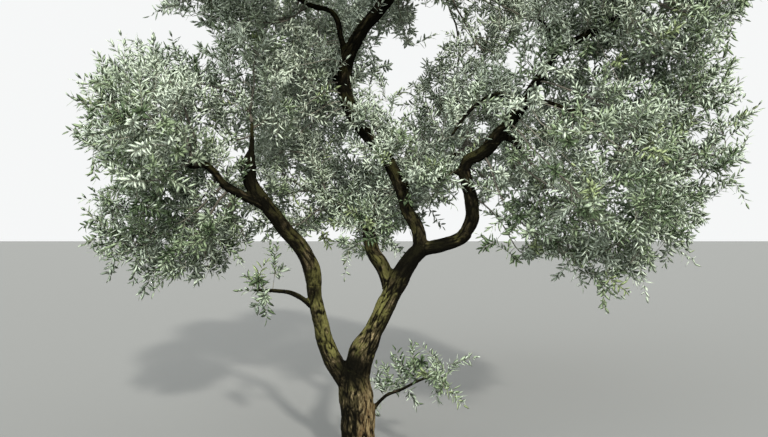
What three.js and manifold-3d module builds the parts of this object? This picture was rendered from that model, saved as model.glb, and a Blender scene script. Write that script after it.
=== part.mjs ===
// An old olive tree: a low-forking trunk, its crooked boughs, and the masses of foliage they carry.
// Millimetres, +Z up. The trunk stands on the origin and the tree's front faces -Y.

import * as THREE from "three";
import { mergeVertices } from "three/addons/utils/BufferGeometryUtils.js";
import Module from "manifold-3d";

const wasm = await Module();
wasm.setup();

// Limbs: how finely they are made, the gap that parts lying on each other keep, and how close the
// points along a seam lie.
const RING_SPACING = 300;
const RING_TURN = THREE.MathUtils.degToRad(26);
const BEND_SAMPLES = 160;
const TIP_RINGS = 2;
const TIP_TURN = THREE.MathUtils.degToRad(72);
const SEAT_GAP = 0.3;
const SEAM = 0.001;

// Root flare: how far the trunk spreads at the ground, how soon that fades, and its lobes.
const FLARE = 52;
const FLARE_HEIGHT = 130;
const FLARE_LOBES = 5;
const LOBE_DEPTH = 0.13;

// Foliage: how finely a mass is made, how many lumps it has, how high the highest stands, the share of
// that rise that the lowest has, and how sharp they are. A mass reaches HOLLOW of its size between them.
const MASS_DETAIL = 3;
const LUMPS = 14;
const LUMP_RISE = 0.34;
const LOWEST_LUMP = 0.5;
const LUMP_SHARPNESS = 11;
const HOLLOW = 0.76;
const MASS_GAP = 0.6;

// The trunk and the limbs, thickest first. A limb starts inside the one that carries it. Its girth
// lists radii spread evenly from its base to its tip, and its knees are the points it bends through.
const LIMBS = [
  {
    name: "trunk",
    sides: 15,
    girth: [112, 115, 119, 124, 128, 131, 126, 107],
    flared: true,
    knees: [[0, 0, 0], [-3, 2, 170], [-8, 0, 344], [-18, -4, 560], [-40, 0, 740], [-75, 0, 905]],
  },
  {
    name: "right_stem",
    sides: 7,
    girth: [112, 106, 80, 66, 70, 80, 76, 70, 60],
    knees: [[-45, 0, 800], [5, 0, 960], [65, 5, 1085], [135, 15, 1215], [205, 25, 1370], [280, 35, 1520],
      [345, 40, 1630], [425, 40, 1730], [510, 40, 1800]],
  },
  {
    name: "left_bough",
    sides: 7,
    girth: [90, 76, 66, 62, 58, 56, 64, 60, 54, 52, 50, 46],
    knees: [[-70, 0, 745], [-140, -3, 835], [-195, -6, 915], [-240, -10, 1000], [-275, -25, 1145],
      [-319, -45, 1302], [-343, -65, 1457], [-365, -100, 1640], [-425, -125, 1765], [-520, -155, 1880],
      [-615, -190, 2015], [-690, -218, 2125], [-725, -230, 2180]],
  },
  {
    name: "leader",
    sides: 7,
    girth: [58, 52, 50, 48, 52, 56, 56, 52, 50, 42, 34],
    knees: [[440, 40, 1765], [442, 60, 1914], [375, 85, 2035], [300, 135, 2270], [175, 195, 2520],
      [-25, 245, 2755], [-130, 270, 3020], [-110, 260, 3255], [15, 240, 3495], [220, 200, 3740],
      [305, 160, 4015], [335, 140, 4290]],
  },
  {
    name: "u_limb_lower",
    sides: 7,
    girth: [60, 50, 50, 54],
    knees: [[495, 40, 1782], [600, 30, 1795], [710, 15, 1822], [790, 5, 1872], [828, 0, 1945]],
  },
  {
    name: "u_limb_upper",
    sides: 7,
    girth: [54, 53, 50, 46, 43],
    knees: [[824, 0, 1915], [850, -10, 2010], [845, -20, 2115], [825, -30, 2215], [790, -40, 2320],
      [775, -50, 2415]],
  },
  {
    name: "right_upper_limb",
    sides: 7,
    girth: [42, 47, 50, 46, 37, 31, 28, 28, 27, 25, 22],
    knees: [[775, -50, 2385], [825, -80, 2445], [905, -120, 2480], [1045, -200, 2640], [1210, -290, 2860],
      [1335, -350, 3080], [1420, -390, 3200], [1540, -420, 3250], [1705, -460, 3345], [1930, -500, 3510],
      [2040, -520, 3650]],
  },
  {
    name: "centre_bough",
    sides: 7,
    girth: [54, 57, 60, 56, 44, 34],
    knees: [[285, 35, 1540], [200, 70, 1620], [130, 110, 1685], [90, 160, 1770], [72, 220, 1860],
      [75, 400, 2010], [110, 590, 2140], [170, 740, 2240]],
  },
  {
    name: "left_upright_limb",
    sides: 7,
    girth: [46, 50, 53, 52, 56, 62, 24, 16, 14, 13, 13],
    knees: [[-700, -222, 2130], [-765, -220, 2220], [-802, -200, 2300], [-812, -175, 2385],
      [-795, -145, 2520], [-800, -110, 2720]],
  },
  {
    name: "left_side_limb",
    sides: 6,
    girth: [32, 31, 28, 25, 22, 18],
    knees: [[-705, -226, 2145], [-815, -250, 2155], [-900, -270, 2200], [-975, -290, 2250],
      [-1030, -300, 2325], [-1105, -315, 2385], [-1180, -325, 2375], [-1290, -270, 2420]],
  },
  {
    name: "rear_limb",
    sides: 6,
    girth: [38, 34, 30, 26],
    knees: [[72, 215, 1850], [85, 550, 1880], [105, 900, 1910], [145, 1260, 2020]],
  },
  {
    name: "back_left_limb",
    sides: 6,
    girth: [34, 31, 28, 25],
    knees: [[72, 300, 1925], [-60, 440, 2010], [-200, 540, 2110], [-330, 650, 2200]],
  },
  {
    name: "top_back_limb",
    sides: 6,
    girth: [36, 33, 29, 26],
    knees: [[-125, 270, 3010], [-190, 430, 3120], [-280, 600, 3260], [-350, 740, 3370]],
  },
  {
    name: "right_back_limb",
    sides: 6,
    girth: [34, 32, 29, 26],
    knees: [[295, 135, 2275], [460, 290, 2350], [640, 460, 2450], [800, 620, 2540]],
  },
  {
    name: "top_right_limb",
    sides: 6,
    girth: [32, 30, 27, 25],
    knees: [[215, 205, 3730], [370, 340, 3860], [530, 490, 3950], [680, 620, 4000]],
  },
  {
    name: "front_limb",
    sides: 6,
    girth: [38, 36, 33, 30, 26],
    knees: [[235, 200, 3770], [260, -40, 3880], [275, -330, 3950], [290, -620, 4030]],
  },
  {
    name: "front_left_limb",
    sides: 6,
    girth: [28, 26, 24, 22],
    knees: [[262, -80, 3885], [20, -330, 3900], [-250, -580, 3860], [-480, -800, 3830]],
  },
  {
    name: "front_right_limb",
    sides: 6,
    girth: [28, 26, 24, 22],
    knees: [[272, -260, 3930], [520, -480, 3920], [780, -720, 3870], [1000, -920, 3840]],
  },
  {
    name: "leader_side_limb",
    sides: 6,
    girth: [24, 22, 20, 18],
    knees: [[-95, 260, 3335], [-160, 240, 3425], [-180, 220, 3545], [-240, 205, 3630], [-345, 180, 3650],
      [-560, 110, 3740]],
  },
  {
    name: "right_inner_limb",
    sides: 6,
    girth: [26, 24, 22],
    knees: [[1010, -180, 2600], [1110, -150, 2590], [1220, -110, 2500]],
  },
  {
    name: "right_mid_limb",
    sides: 6,
    girth: [24, 22, 20, 18],
    knees: [[1150, -255, 2780], [1285, -220, 2850], [1430, -110, 2850], [1600, 20, 2810]],
  },
  {
    name: "right_outer_limb",
    sides: 6,
    girth: [18, 17, 16, 15],
    knees: [[1530, -35, 2832], [1790, -90, 2770], [2060, -150, 2640], [2360, -200, 2450]],
  },
  {
    name: "arched_branch",
    sides: 6,
    girth: [19, 18, 16, 13, 10],
    knees: [[1140, -250, 2775], [1075, -270, 2880], [990, -280, 2890], [905, -285, 2860], [815, -285, 2790],
      [740, -280, 2700], [665, -270, 2590]],
  },
  {
    name: "cross_branch",
    sides: 6,
    girth: [22, 21, 18, 14],
    knees: [[785, -45, 2350], [715, -30, 2350], [650, -10, 2315], [575, 10, 2285], [470, 40, 2240]],
  },
  {
    name: "right_fork_shoot",
    sides: 6,
    girth: [15, 14, 12, 9],
    knees: [[1425, -390, 3205], [1375, -410, 3280], [1330, -420, 3350], [1255, -430, 3400]],
  },
  {
    name: "low_left_branch",
    sides: 6,
    girth: [22, 19, 17, 14, 10],
    knees: [[-335, -50, 1320], [-415, -85, 1390], [-485, -120, 1440], [-585, -160, 1465], [-690, -200, 1470],
      [-780, -230, 1480]],
  },
  {
    name: "low_right_shoot",
    sides: 6,
    girth: [17, 14, 12, 11, 9],
    knees: [[60, 0, 550], [135, -20, 605], [195, -35, 665], [300, -50, 710], [400, -65, 760],
      [480, -80, 805], [635, -100, 815]],
  },
];

// The masses of foliage: centre, half sizes and the seed of each one's lumps.
const MASSES = [
  { name: "left_skirt_mass", centre: [-1320, 60, 1950], half: [670, 620, 510], seed: 11 },
  { name: "left_outer_mass", centre: [-1450, -40, 2780], half: [620, 680, 620], seed: 12 },
  { name: "left_inner_mass", centre: [-700, 20, 3080], half: [540, 580, 520], seed: 13 },
  { name: "left_back_mass", centre: [-560, 850, 2360], half: [600, 560, 560], seed: 14 },
  { name: "left_top_mass", centre: [-960, -60, 3850], half: [700, 760, 590], seed: 15 },
  { name: "centre_back_mass", centre: [270, 960, 2390], half: [500, 540, 420], seed: 16 },
  { name: "top_back_mass", centre: [-440, 1000, 3480], half: [580, 620, 660], seed: 17 },
  { name: "right_back_mass", centre: [1020, 900, 2700], half: [580, 580, 640], seed: 18 },
  { name: "right_back_top_mass", centre: [920, 780, 3830], half: [740, 660, 560], seed: 19 },
  { name: "right_inner_mass", centre: [1330, -20, 2120], half: [490, 580, 560], seed: 20 },
  { name: "right_mid_mass", centre: [1880, 240, 2780], half: [520, 640, 600], seed: 21 },
  { name: "right_outer_mass", centre: [2340, -60, 2600], half: [520, 650, 830], seed: 22 },
  { name: "right_skirt_mass", centre: [1840, -120, 1830], half: [540, 580, 400], seed: 23 },
  { name: "right_top_mass", centre: [2040, -300, 3540], half: [800, 720, 720], seed: 24 },
  { name: "crown_top_mass", centre: [400, 150, 4600], half: [880, 820, 580], seed: 25 },
  { name: "front_top_mass", centre: [300, -1060, 4160], half: [780, 640, 540], seed: 26 },
  { name: "front_left_mass", centre: [-800, -1100, 3800], half: [640, 600, 500], seed: 27 },
  { name: "front_right_mass", centre: [1330, -1180, 3800], half: [640, 580, 490], seed: 28 },
  { name: "front_left_low_mass", centre: [-1290, -900, 2520], half: [340, 460, 620], seed: 33 },
  { name: "front_right_low_mass", centre: [1670, -850, 2290], half: [530, 510, 580], seed: 34 },
  { name: "back_left_mass", centre: [-680, 1640, 2900], half: [640, 540, 680], seed: 29 },
  { name: "back_right_mass", centre: [980, 1660, 2950], half: [640, 540, 700], seed: 30 },
  { name: "back_low_mass", centre: [150, 1580, 2160], half: [560, 520, 440], seed: 31 },
  { name: "back_top_mass", centre: [140, 1460, 4120], half: [720, 640, 500], seed: 32 },
];

const BARK = new THREE.MeshStandardMaterial({
  color: "#5a4c3b",
  roughness: 0.95,
  metalness: 0,
  flatShading: true,
});
const LEAF_TONES = ["#8b967c", "#7c8a6c", "#98a189"];

// The value at a fraction of a list whose entries are spread evenly from 0 to 1.
function along(list, fraction) {
  const place = THREE.MathUtils.clamp(fraction, 0, 1) * (list.length - 1);
  const index = Math.min(Math.floor(place), list.length - 2);
  return THREE.MathUtils.lerp(list[index], list[index + 1], place - index);
}

// Fractions of a curve's length from 0 to 1, closer together where it bends.
function ringPlaces(curve, length) {
  const measures = [0];
  for (let i = 1; i <= BEND_SAMPLES; i += 1) {
    const before = curve.getTangentAt((i - 1) / BEND_SAMPLES);
    const bend = before.angleTo(curve.getTangentAt(i / BEND_SAMPLES));
    measures.push(measures[i - 1] + length / BEND_SAMPLES / RING_SPACING + bend / RING_TURN);
  }
  const total = measures.at(-1);
  const count = Math.max(2, Math.round(total));
  const places = [0];
  for (let i = 1; i < count; i += 1) {
    places.push(measures.findIndex((measure) => measure >= (total * i) / count) / BEND_SAMPLES);
  }
  return [...places, 1];
}

// The rings of a limb from base to tip: a centre, a direction and a radius. The last ones close a round tip.
function limbRings(limb, grow) {
  const knees = limb.knees.map((knee) => new THREE.Vector3(...knee));
  const curve = new THREE.CatmullRomCurve3(knees, false, "centripetal");
  const length = curve.getLength();
  const tipRadius = limb.girth.at(-1);
  const shaftEnd = 1 - tipRadius / length;
  const rings = [];
  for (const place of ringPlaces(curve, length)) {
    const fraction = place * shaftEnd;
    rings.push({ fraction, radius: along(limb.girth, fraction) + grow, push: 0 });
  }
  for (let i = 1; i <= TIP_RINGS; i += 1) {
    const turn = (i / TIP_RINGS) * TIP_TURN;
    const fraction = shaftEnd + (Math.sin(turn) * tipRadius) / length;
    rings.push({ fraction, radius: (tipRadius + grow) * Math.cos(turn), push: grow * Math.sin(turn) });
  }
  for (const ring of rings) {
    ring.along = curve.getTangentAt(ring.fraction);
    ring.centre = curve.getPointAt(ring.fraction).addScaledVector(ring.along, ring.push);
  }
  return rings;
}

// The trunk's spread near the ground, lobed where the main roots leave it.
function footSpread(height, turn) {
  const fade = Math.exp(-Math.max(height, 0) / FLARE_HEIGHT);
  const lobe = 1 + LOBE_DEPTH * Math.sin(FLARE_LOBES * turn) * fade;
  return { lobe, flare: FLARE * fade };
}

// A limb's closed surface: a cylinder one unit high, bent along the limb's rings. A flared limb stands
// flat on the ground.
function limbGeometry(limb, grow = 0) {
  const rings = limbRings(limb, grow);
  const geometry = new THREE.CylinderGeometry(1, 1, 1, limb.sides, rings.length - 1, false);
  let across = new THREE.Vector3(1, 0, 0);
  for (const ring of rings) {
    across = across.clone().addScaledVector(ring.along, -across.dot(ring.along)).normalize();
    ring.across = across;
    ring.aside = new THREE.Vector3().crossVectors(across, ring.along);
  }
  const position = geometry.getAttribute("position");
  const point = new THREE.Vector3();
  for (let i = 0; i < position.count; i += 1) {
    point.fromBufferAttribute(position, i);
    const ring = rings[Math.round((point.y + 0.5) * (rings.length - 1))];
    let radius = ring.radius;
    if (limb.flared) {
      const { lobe, flare } = footSpread(ring.centre.z, Math.atan2(point.z, point.x));
      radius = (radius + flare) * lobe;
    }
    const place = ring.centre.clone();
    place.addScaledVector(ring.across, point.x * radius);
    place.addScaledVector(ring.aside, point.z * radius);
    if (limb.flared && ring.fraction === 0) place.z = 0;
    position.setXYZ(i, place.x, place.y, place.z);
  }
  return geometry;
}

// A mass of foliage: a ball stretched to its half sizes, with lumps and shallow hollows of its own.
function massGeometry(mass, grow = 0) {
  const { seededRandom } = THREE.MathUtils;
  seededRandom(mass.seed);
  const lumps = [];
  for (let i = 0; i < LUMPS; i += 1) {
    const height = seededRandom() * 2 - 1;
    const turn = seededRandom() * Math.PI * 2;
    const flat = Math.sqrt(1 - height * height);
    lumps.push({
      direction: new THREE.Vector3(flat * Math.cos(turn), flat * Math.sin(turn), height),
      rise: LUMP_RISE * THREE.MathUtils.lerp(LOWEST_LUMP, 1, seededRandom()),
    });
  }
  const geometry = new THREE.OctahedronGeometry(1, MASS_DETAIL);
  const position = geometry.getAttribute("position");
  const half = new THREE.Vector3(...mass.half).addScalar(grow);
  const point = new THREE.Vector3();
  for (let i = 0; i < position.count; i += 1) {
    point.fromBufferAttribute(position, i).normalize();
    let reach = HOLLOW;
    for (const lump of lumps) {
      reach += lump.rise * Math.max(0, point.dot(lump.direction)) ** LUMP_SHARPNESS;
    }
    point.multiplyScalar(Math.min(reach, 1)).multiply(half);
    position.setXYZ(i, point.x + mass.centre[0], point.y + mass.centre[1], point.z + mass.centre[2]);
  }
  return geometry;
}

// A closed solid from a geometry whose seams are merged.
function solidOf(geometry) {
  geometry.deleteAttribute("normal");
  geometry.deleteAttribute("uv");
  const merged = mergeVertices(geometry, SEAM);
  return new wasm.Manifold(
    new wasm.Mesh({
      numProp: 3,
      vertProperties: merged.getAttribute("position").array,
      triVerts: new Uint32Array(merged.index.array),
    }),
  );
}

// The largest body of a solid, without the crumbs that a cut can leave.
function largestBody(solid) {
  return solid.decompose().reduce((best, body) => (body.volume() > best.volume() ? body : best));
}

// Whether two solids' boxes meet.
function boxesMeet(one, other) {
  const a = one.boundingBox();
  const b = other.boundingBox();
  return [0, 1, 2].every((axis) => a.min[axis] <= b.max[axis] && b.min[axis] <= a.max[axis]);
}

// What is left of a solid beside the parts already made, one body with a seat gap round it.
function fitted(solid, cutters) {
  const near = cutters.filter((cutter) => boxesMeet(solid, cutter));
  return largestBody(near.reduce((rest, cutter) => rest.subtract(cutter), solid));
}

// A named mesh from a solid.
function meshOf(name, solid, material) {
  const { vertProperties, triVerts } = solid.getMesh();
  const geometry = new THREE.BufferGeometry();
  geometry.setAttribute("position", new THREE.BufferAttribute(vertProperties, 3));
  geometry.setIndex(new THREE.BufferAttribute(triVerts, 1));
  geometry.computeVertexNormals();
  const mesh = new THREE.Mesh(geometry, material);
  mesh.name = name;
  return mesh;
}

// The tree: each limb is cut by those before it, each mass by the limbs and the masses before it.
function makeTree() {
  const tree = new THREE.Group();
  const cutters = [];
  for (const limb of LIMBS) {
    tree.add(meshOf(limb.name, fitted(solidOf(limbGeometry(limb)), cutters), BARK));
    cutters.push(solidOf(limbGeometry(limb, SEAT_GAP)));
  }
  MASSES.forEach((mass, index) => {
    const leafage = new THREE.MeshStandardMaterial({
      color: LEAF_TONES[index % LEAF_TONES.length],
      roughness: 0.8,
      metalness: 0,
      flatShading: true,
    });
    tree.add(meshOf(mass.name, fitted(solidOf(massGeometry(mass)), cutters), leafage));
    cutters.push(solidOf(massGeometry(mass, MASS_GAP)));
  });
  return tree;
}

export default makeTree();
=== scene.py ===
"""Looks of an old olive tree.

The limbs become one barked skin, and the masses of foliage become branches, twigs and leaves.
"""

import logging
import math
from dataclasses import dataclass, field
from enum import Enum
from typing import ClassVar

import bpy
import numpy as np
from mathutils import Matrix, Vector, noise
from mathutils.bvhtree import BVHTree
from mathutils.kdtree import KDTree


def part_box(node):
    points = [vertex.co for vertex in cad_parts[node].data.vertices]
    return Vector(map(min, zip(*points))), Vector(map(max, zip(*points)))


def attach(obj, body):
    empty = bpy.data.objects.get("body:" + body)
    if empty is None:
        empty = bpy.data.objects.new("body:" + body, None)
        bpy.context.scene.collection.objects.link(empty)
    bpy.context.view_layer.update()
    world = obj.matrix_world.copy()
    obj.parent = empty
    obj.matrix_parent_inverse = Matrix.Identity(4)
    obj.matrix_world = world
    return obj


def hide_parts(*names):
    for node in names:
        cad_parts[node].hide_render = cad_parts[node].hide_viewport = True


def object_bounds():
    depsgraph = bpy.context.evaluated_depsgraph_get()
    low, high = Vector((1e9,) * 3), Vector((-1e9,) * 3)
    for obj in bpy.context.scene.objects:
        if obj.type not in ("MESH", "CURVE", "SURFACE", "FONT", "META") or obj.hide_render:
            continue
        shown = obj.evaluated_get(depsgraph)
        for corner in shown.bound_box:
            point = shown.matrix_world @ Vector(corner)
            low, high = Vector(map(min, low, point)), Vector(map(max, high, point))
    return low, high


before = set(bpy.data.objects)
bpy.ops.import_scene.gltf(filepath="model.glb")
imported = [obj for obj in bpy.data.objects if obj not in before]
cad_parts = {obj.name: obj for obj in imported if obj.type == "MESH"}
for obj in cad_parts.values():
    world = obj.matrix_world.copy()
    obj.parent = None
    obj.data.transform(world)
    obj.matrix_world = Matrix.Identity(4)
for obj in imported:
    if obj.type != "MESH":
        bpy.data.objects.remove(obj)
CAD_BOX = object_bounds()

log = logging.getLogger("olive tree")

Triple = tuple[float, float, float]
Colour = tuple[float, float, float]
Span = tuple[float, float]
Spot = tuple[Triple, float]
Tube = tuple[np.ndarray, np.ndarray, int]
Object = bpy.types.Object
Material = bpy.types.Material
Socket = bpy.types.NodeSocket

UP = np.array((0.0, 0.0, 1.0))
FRONT = np.array((0.0, -1.0, 0.0))
TINY = 1e-9
ROOT_LOBES = 5


def units(vectors: np.ndarray) -> np.ndarray:
    """Scales vectors to length one.

    Args:
        vectors: One vector in each row.

    Returns:
        The rows divided by their lengths.
    """
    lengths = np.linalg.norm(vectors, axis=-1, keepdims=True)
    return vectors / np.maximum(lengths, TINY)


def select_none() -> None:
    """Deselects everything, so that an operator acts on nothing old."""
    bpy.ops.object.select_all(action="DESELECT")


def select_only(piece: Object) -> None:
    """Deselects everything, then selects one piece and makes it active.

    Args:
        piece: The piece that the next operators act on.
    """
    select_none()
    piece.select_set(True)
    bpy.context.view_layer.objects.active = piece


def add_object(name: str, data: bpy.types.ID) -> Object:
    """Adds an object to the scene.

    Args:
        name: The object's name.
        data: Its mesh, curve, light or camera.

    Returns:
        The new object, at the origin.
    """
    made = bpy.data.objects.new(name, data)
    bpy.context.scene.collection.objects.link(made)
    return made


def mesh_from_arrays(name: str, points: np.ndarray, triangles: np.ndarray) -> Object:
    """Makes a piece from arrays of points and triangles.

    Args:
        name: The piece's name.
        points: One point in each row, in metres.
        triangles: Three point numbers in each row.

    Returns:
        The new object, linked to the scene.
    """
    mesh = bpy.data.meshes.new(name)
    mesh.vertices.add(len(points))
    mesh.vertices.foreach_set("co", np.ascontiguousarray(points, np.float32).ravel())
    mesh.loops.add(triangles.size)
    mesh.loops.foreach_set("vertex_index", np.ascontiguousarray(triangles, np.int32).ravel())
    mesh.polygons.add(len(triangles))
    mesh.polygons.foreach_set("loop_start", np.arange(0, triangles.size, 3, dtype=np.int32))
    mesh.update(calc_edges=True)
    return add_object(name, mesh)


def point_array(mesh: bpy.types.Mesh, kind: str = "co") -> np.ndarray:
    """Reads a vector of each of a mesh's points.

    Args:
        mesh: The mesh.
        kind: Which vector: co for the place, normal for the normal.

    Returns:
        One vector in each row.
    """
    values = np.empty(len(mesh.vertices) * 3, np.float32)
    mesh.vertices.foreach_get(kind, values)
    return values.reshape(-1, 3).astype(np.float64)


def corner_array(mesh: bpy.types.Mesh) -> np.ndarray:
    """Reads the triangles of a frame node's mesh.

    Args:
        mesh: A mesh of triangles only.

    Returns:
        Three point numbers in each row.
    """
    corners = np.empty(len(mesh.loops), np.int32)
    mesh.loops.foreach_get("vertex_index", corners)
    return corners.reshape(-1, 3)


# Limbs


@dataclass
class Limb:
    """A limb's middle line from base to tip, with the wood's radius at each point.

    Attributes:
        COLLAR: How fast the first stretch thins from its wide base.
        FEWEST_POINTS: The fewest points that a resampled line has.
        name: The node that the limb was read from.
        centres: Points of the middle line.
        radii: The radius at each point.
        lobes: For each point, the depth and turn of the root lobes there.
    """

    COLLAR: ClassVar[float] = 2.4
    FEWEST_POINTS: ClassVar[int] = 4

    name: str
    centres: np.ndarray
    radii: np.ndarray
    lobes: np.ndarray

    def resampled(self, spacing: float) -> tuple[np.ndarray, np.ndarray]:
        """Points along a smooth curve through the centres.

        Args:
            spacing: The distance between points, about.

        Returns:
            The points and the radius at each.
        """
        gaps = np.linalg.norm(np.diff(self.centres, axis=0), axis=1)
        places = np.concatenate(([0.0], np.cumsum(gaps)))
        slopes = np.gradient(self.centres, places, axis=0)
        count = max(self.FEWEST_POINTS, int(round(places[-1] / spacing)) + 1)
        wanted = np.linspace(0.0, places[-1], count)
        index = np.clip(np.searchsorted(places, wanted, side="right") - 1, 0, len(gaps) - 1)
        width = gaps[index][:, None]
        t = ((wanted - places[index]) / gaps[index])[:, None]
        start, end = self.centres[index], self.centres[index + 1]
        curve = (
            (2 * t**3 - 3 * t**2 + 1) * start
            + (t**3 - 2 * t**2 + t) * width * slopes[index]
            + (3 * t**2 - 2 * t**3) * end
            + (t**3 - t**2) * width * slopes[index + 1]
        )
        part = np.where(index == 0, 1.0 - (1.0 - t[:, 0]) ** self.COLLAR, t[:, 0])
        return curve, self.radii[index] + part * (self.radii[index + 1] - self.radii[index])


@dataclass(frozen=True)
class LimbReader:
    """Reads limbs back from the frame's nodes, whose surfaces are rings of points round a middle line.

    Attributes:
        decimals: How finely points are compared when doubles are merged.
        tip_rings: How many rings only round off a tip.
        tip_share: The radius at the very tip, as a share of the last ring's.
        least_ring: The fewest points that a ring has.
        evenness: How much the spokes from a pole to its ring differ at most, as a share of them.
        centring: How far a pole lies from its ring's middle at most, in metres.
    """

    decimals: int = 5
    tip_rings: int = 2
    tip_share: float = 0.3
    least_ring: int = 6
    evenness: float = 0.01
    centring: float = 0.0003

    def read(self, name: str) -> Limb:
        """Reads one node.

        Args:
            name: The node's name.

        Returns:
            Its limb, base first.
        """
        points, beside = self._surface(name)
        best: list[np.ndarray] = []
        best_pole = 0
        for pole in self._poles(points, beside):
            rings = self._rings(pole, beside)
            if len(rings) > len(best):
                best, best_pole = rings, pole
        shaft = best[self.tip_rings:][::-1]
        centres = [points[ring].mean(axis=0) for ring in shaft]
        spokes = [points[ring] - centre for ring, centre in zip(shaft, centres)]
        radii = [np.linalg.norm(around, axis=1).mean() for around in spokes]
        lobes = [self._lobe(around) for around in spokes]
        centres.append(points[best_pole])
        radii.append(radii[-1] * self.tip_share)
        lobes.append((0.0, 0.0))
        return Limb(name, np.array(centres), np.array(radii), np.array(lobes))

    def _surface(self, name: str) -> tuple[np.ndarray, list[set[int]]]:
        """Merges the double points of a node.

        Args:
            name: The node's name.

        Returns:
            The merged points and, for each, the points that share an edge with it.
        """
        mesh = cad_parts[name].data
        rounded = np.round(point_array(mesh), self.decimals)
        points, merged = np.unique(rounded, axis=0, return_inverse=True)
        beside: list[set[int]] = [set() for _ in points]
        for a, b, c in merged.reshape(-1)[corner_array(mesh)]:
            beside[a] |= {b, c}
            beside[b] |= {a, c}
            beside[c] |= {a, b}
        return points, beside

    def _poles(self, points: np.ndarray, beside: list[set[int]]) -> list[int]:
        """Finds the points that lie at the middle of a flat, even ring of others.

        Args:
            points: The merged points.
            beside: The points that share an edge with each.

        Returns:
            The poles' numbers.
        """
        found = []
        for number, others in enumerate(beside):
            ring = points[list(others)]
            if len(ring) < self.least_ring:
                continue
            spokes = np.linalg.norm(ring - points[number], axis=1)
            even = spokes.std() < self.evenness * spokes.mean()
            if even and np.linalg.norm(ring.mean(axis=0) - points[number]) < self.centring:
                found.append(number)
        return found

    def _rings(self, pole: int, beside: list[set[int]]) -> list[np.ndarray]:
        """Follows the rings of equal count that lie round each other from a pole on.

        Args:
            pole: The pole's number.
            beside: The points that share an edge with each point.

        Returns:
            The point numbers of each ring, nearest first.
        """
        seen = {pole}
        layer = set(beside[pole])
        count = len(layer)
        rings = []
        while len(layer) == count:
            rings.append(np.array(sorted(layer)))
            seen |= layer
            layer = set().union(*(beside[number] for number in layer)) - seen
        return rings

    def _lobe(self, spokes: np.ndarray) -> tuple[float, float]:
        """Measures the root lobes in a ring.

        Args:
            spokes: The ring's points, seen from its middle.

        Returns:
            The lobes' depth and turn.
        """
        turns = np.arctan2(spokes[:, 1], spokes[:, 0])
        reach = np.linalg.norm(spokes, axis=1)
        wave = 2.0 * np.mean(reach * np.exp(-1j * ROOT_LOBES * turns))
        return abs(wave), math.atan2(wave.imag, wave.real)


@dataclass(frozen=True)
class LimbJoiner:
    """Carries the base of a limb on into the limb that it grows from.

    Attributes:
        sample: The distance between points of the carrying limb's middle line.
        aside_cost: How much a metre to the side of the limb's own line counts, beside the distance.
        girth_gain: How much a thick carrier is preferred.
        least_share: How thick a carrier is at least, as a share of the limb's base.
        steps_back: How many samples the joint is set back for each metre of the carrier's radius.
        least_gap: How far off a joint is at least for the limb to be carried on to it.
        swell, most_share: How thick the limb is at its joint, as a share of its base, and at most,
            as a share of the carrier.
    """

    sample: float = 0.01
    aside_cost: float = 1.5
    girth_gain: float = 0.5
    least_share: float = 0.6
    steps_back: float = 130.0
    least_gap: float = 0.02
    swell: float = 1.25
    most_share: float = 0.85

    def joint_of(self, limb: Limb, others: list[Limb]) -> tuple[np.ndarray, float]:
        """Finds where a limb leaves the one that carries it, looking back from its base.

        Args:
            limb: The limb.
            others: All limbs that may carry it.

        Returns:
            A point on the carrying limb's middle line, and that limb's radius there.
        """
        base = limb.centres[0]
        back = units(base - limb.centres[1])
        least, joint = math.inf, (base, limb.radii[0])
        for other in others:
            line, radii = other.resampled(self.sample)
            away = line - base
            reach = np.linalg.norm(away, axis=1)
            ahead = away @ back
            aside = np.linalg.norm(away - ahead[:, None] * back, axis=1)
            cost = reach + self.aside_cost * aside - self.girth_gain * radii
            cost[(ahead < 0.0) | (radii < self.least_share * limb.radii[0])] = math.inf
            near = int(np.argmin(cost))
            if cost[near] < least:
                least = cost[near]
                lower = max(0, near - int(self.steps_back * radii[near]))
                joint = (line[lower], radii[lower])
        return joint

    def join(self, limb: Limb, joint: np.ndarray, thickness: float) -> None:
        """Carries a limb's base on to its joint, unless it already lies there.

        Args:
            limb: The limb.
            joint: The joint's place.
            thickness: The carrying limb's radius there.
        """
        if np.linalg.norm(joint - limb.centres[0]) > self.least_gap:
            start = min(self.swell * limb.radii[0], self.most_share * thickness)
            limb.centres = np.vstack((joint, limb.centres))
            limb.radii = np.concatenate(([start], limb.radii))
            limb.lobes = np.vstack(((0.0, 0.0), limb.lobes))


def read_limbs() -> list[Limb]:
    """Reads every limb of the frame and carries its base on into the limb that it grows from.

    Returns:
        The limbs, thickest first.
    """
    reader = LimbReader()
    joiner = LimbJoiner()
    names = sorted(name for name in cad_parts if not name.endswith("_mass"))
    limbs = sorted((reader.read(name) for name in names), key=lambda limb: -limb.radii[0])
    grown = [limb for limb in limbs if limb.name != "trunk"]
    joints = [joiner.joint_of(limb, [other for other in limbs if other is not limb]) for limb in grown]
    for limb, (joint, thickness) in zip(grown, joints):
        joiner.join(limb, joint, thickness)
    return limbs


# Camera and light


@dataclass(frozen=True)
class Viewpoint:
    """Where the photograph was taken from, and its lens.

    Attributes:
        place: The camera's place, in metres.
        lens_mm: The lens's focal length.
        sensor_mm: The width of the picture behind it.
    """

    place: Triple = (0.182, -5.66, 2.0)
    lens_mm: float = 35.0
    sensor_mm: float = 36.0

    def set_up(self) -> None:
        """Adds the camera, level and looking along +Y, and makes it the scene's own."""
        data = bpy.data.cameras.new("photo_camera")
        data.lens = self.lens_mm
        data.sensor_width = self.sensor_mm
        camera = add_object("photo_camera", data)
        camera.location = self.place
        camera.rotation_euler = (math.radians(90.0), 0.0, 0.0)
        bpy.context.scene.camera = camera


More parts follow.
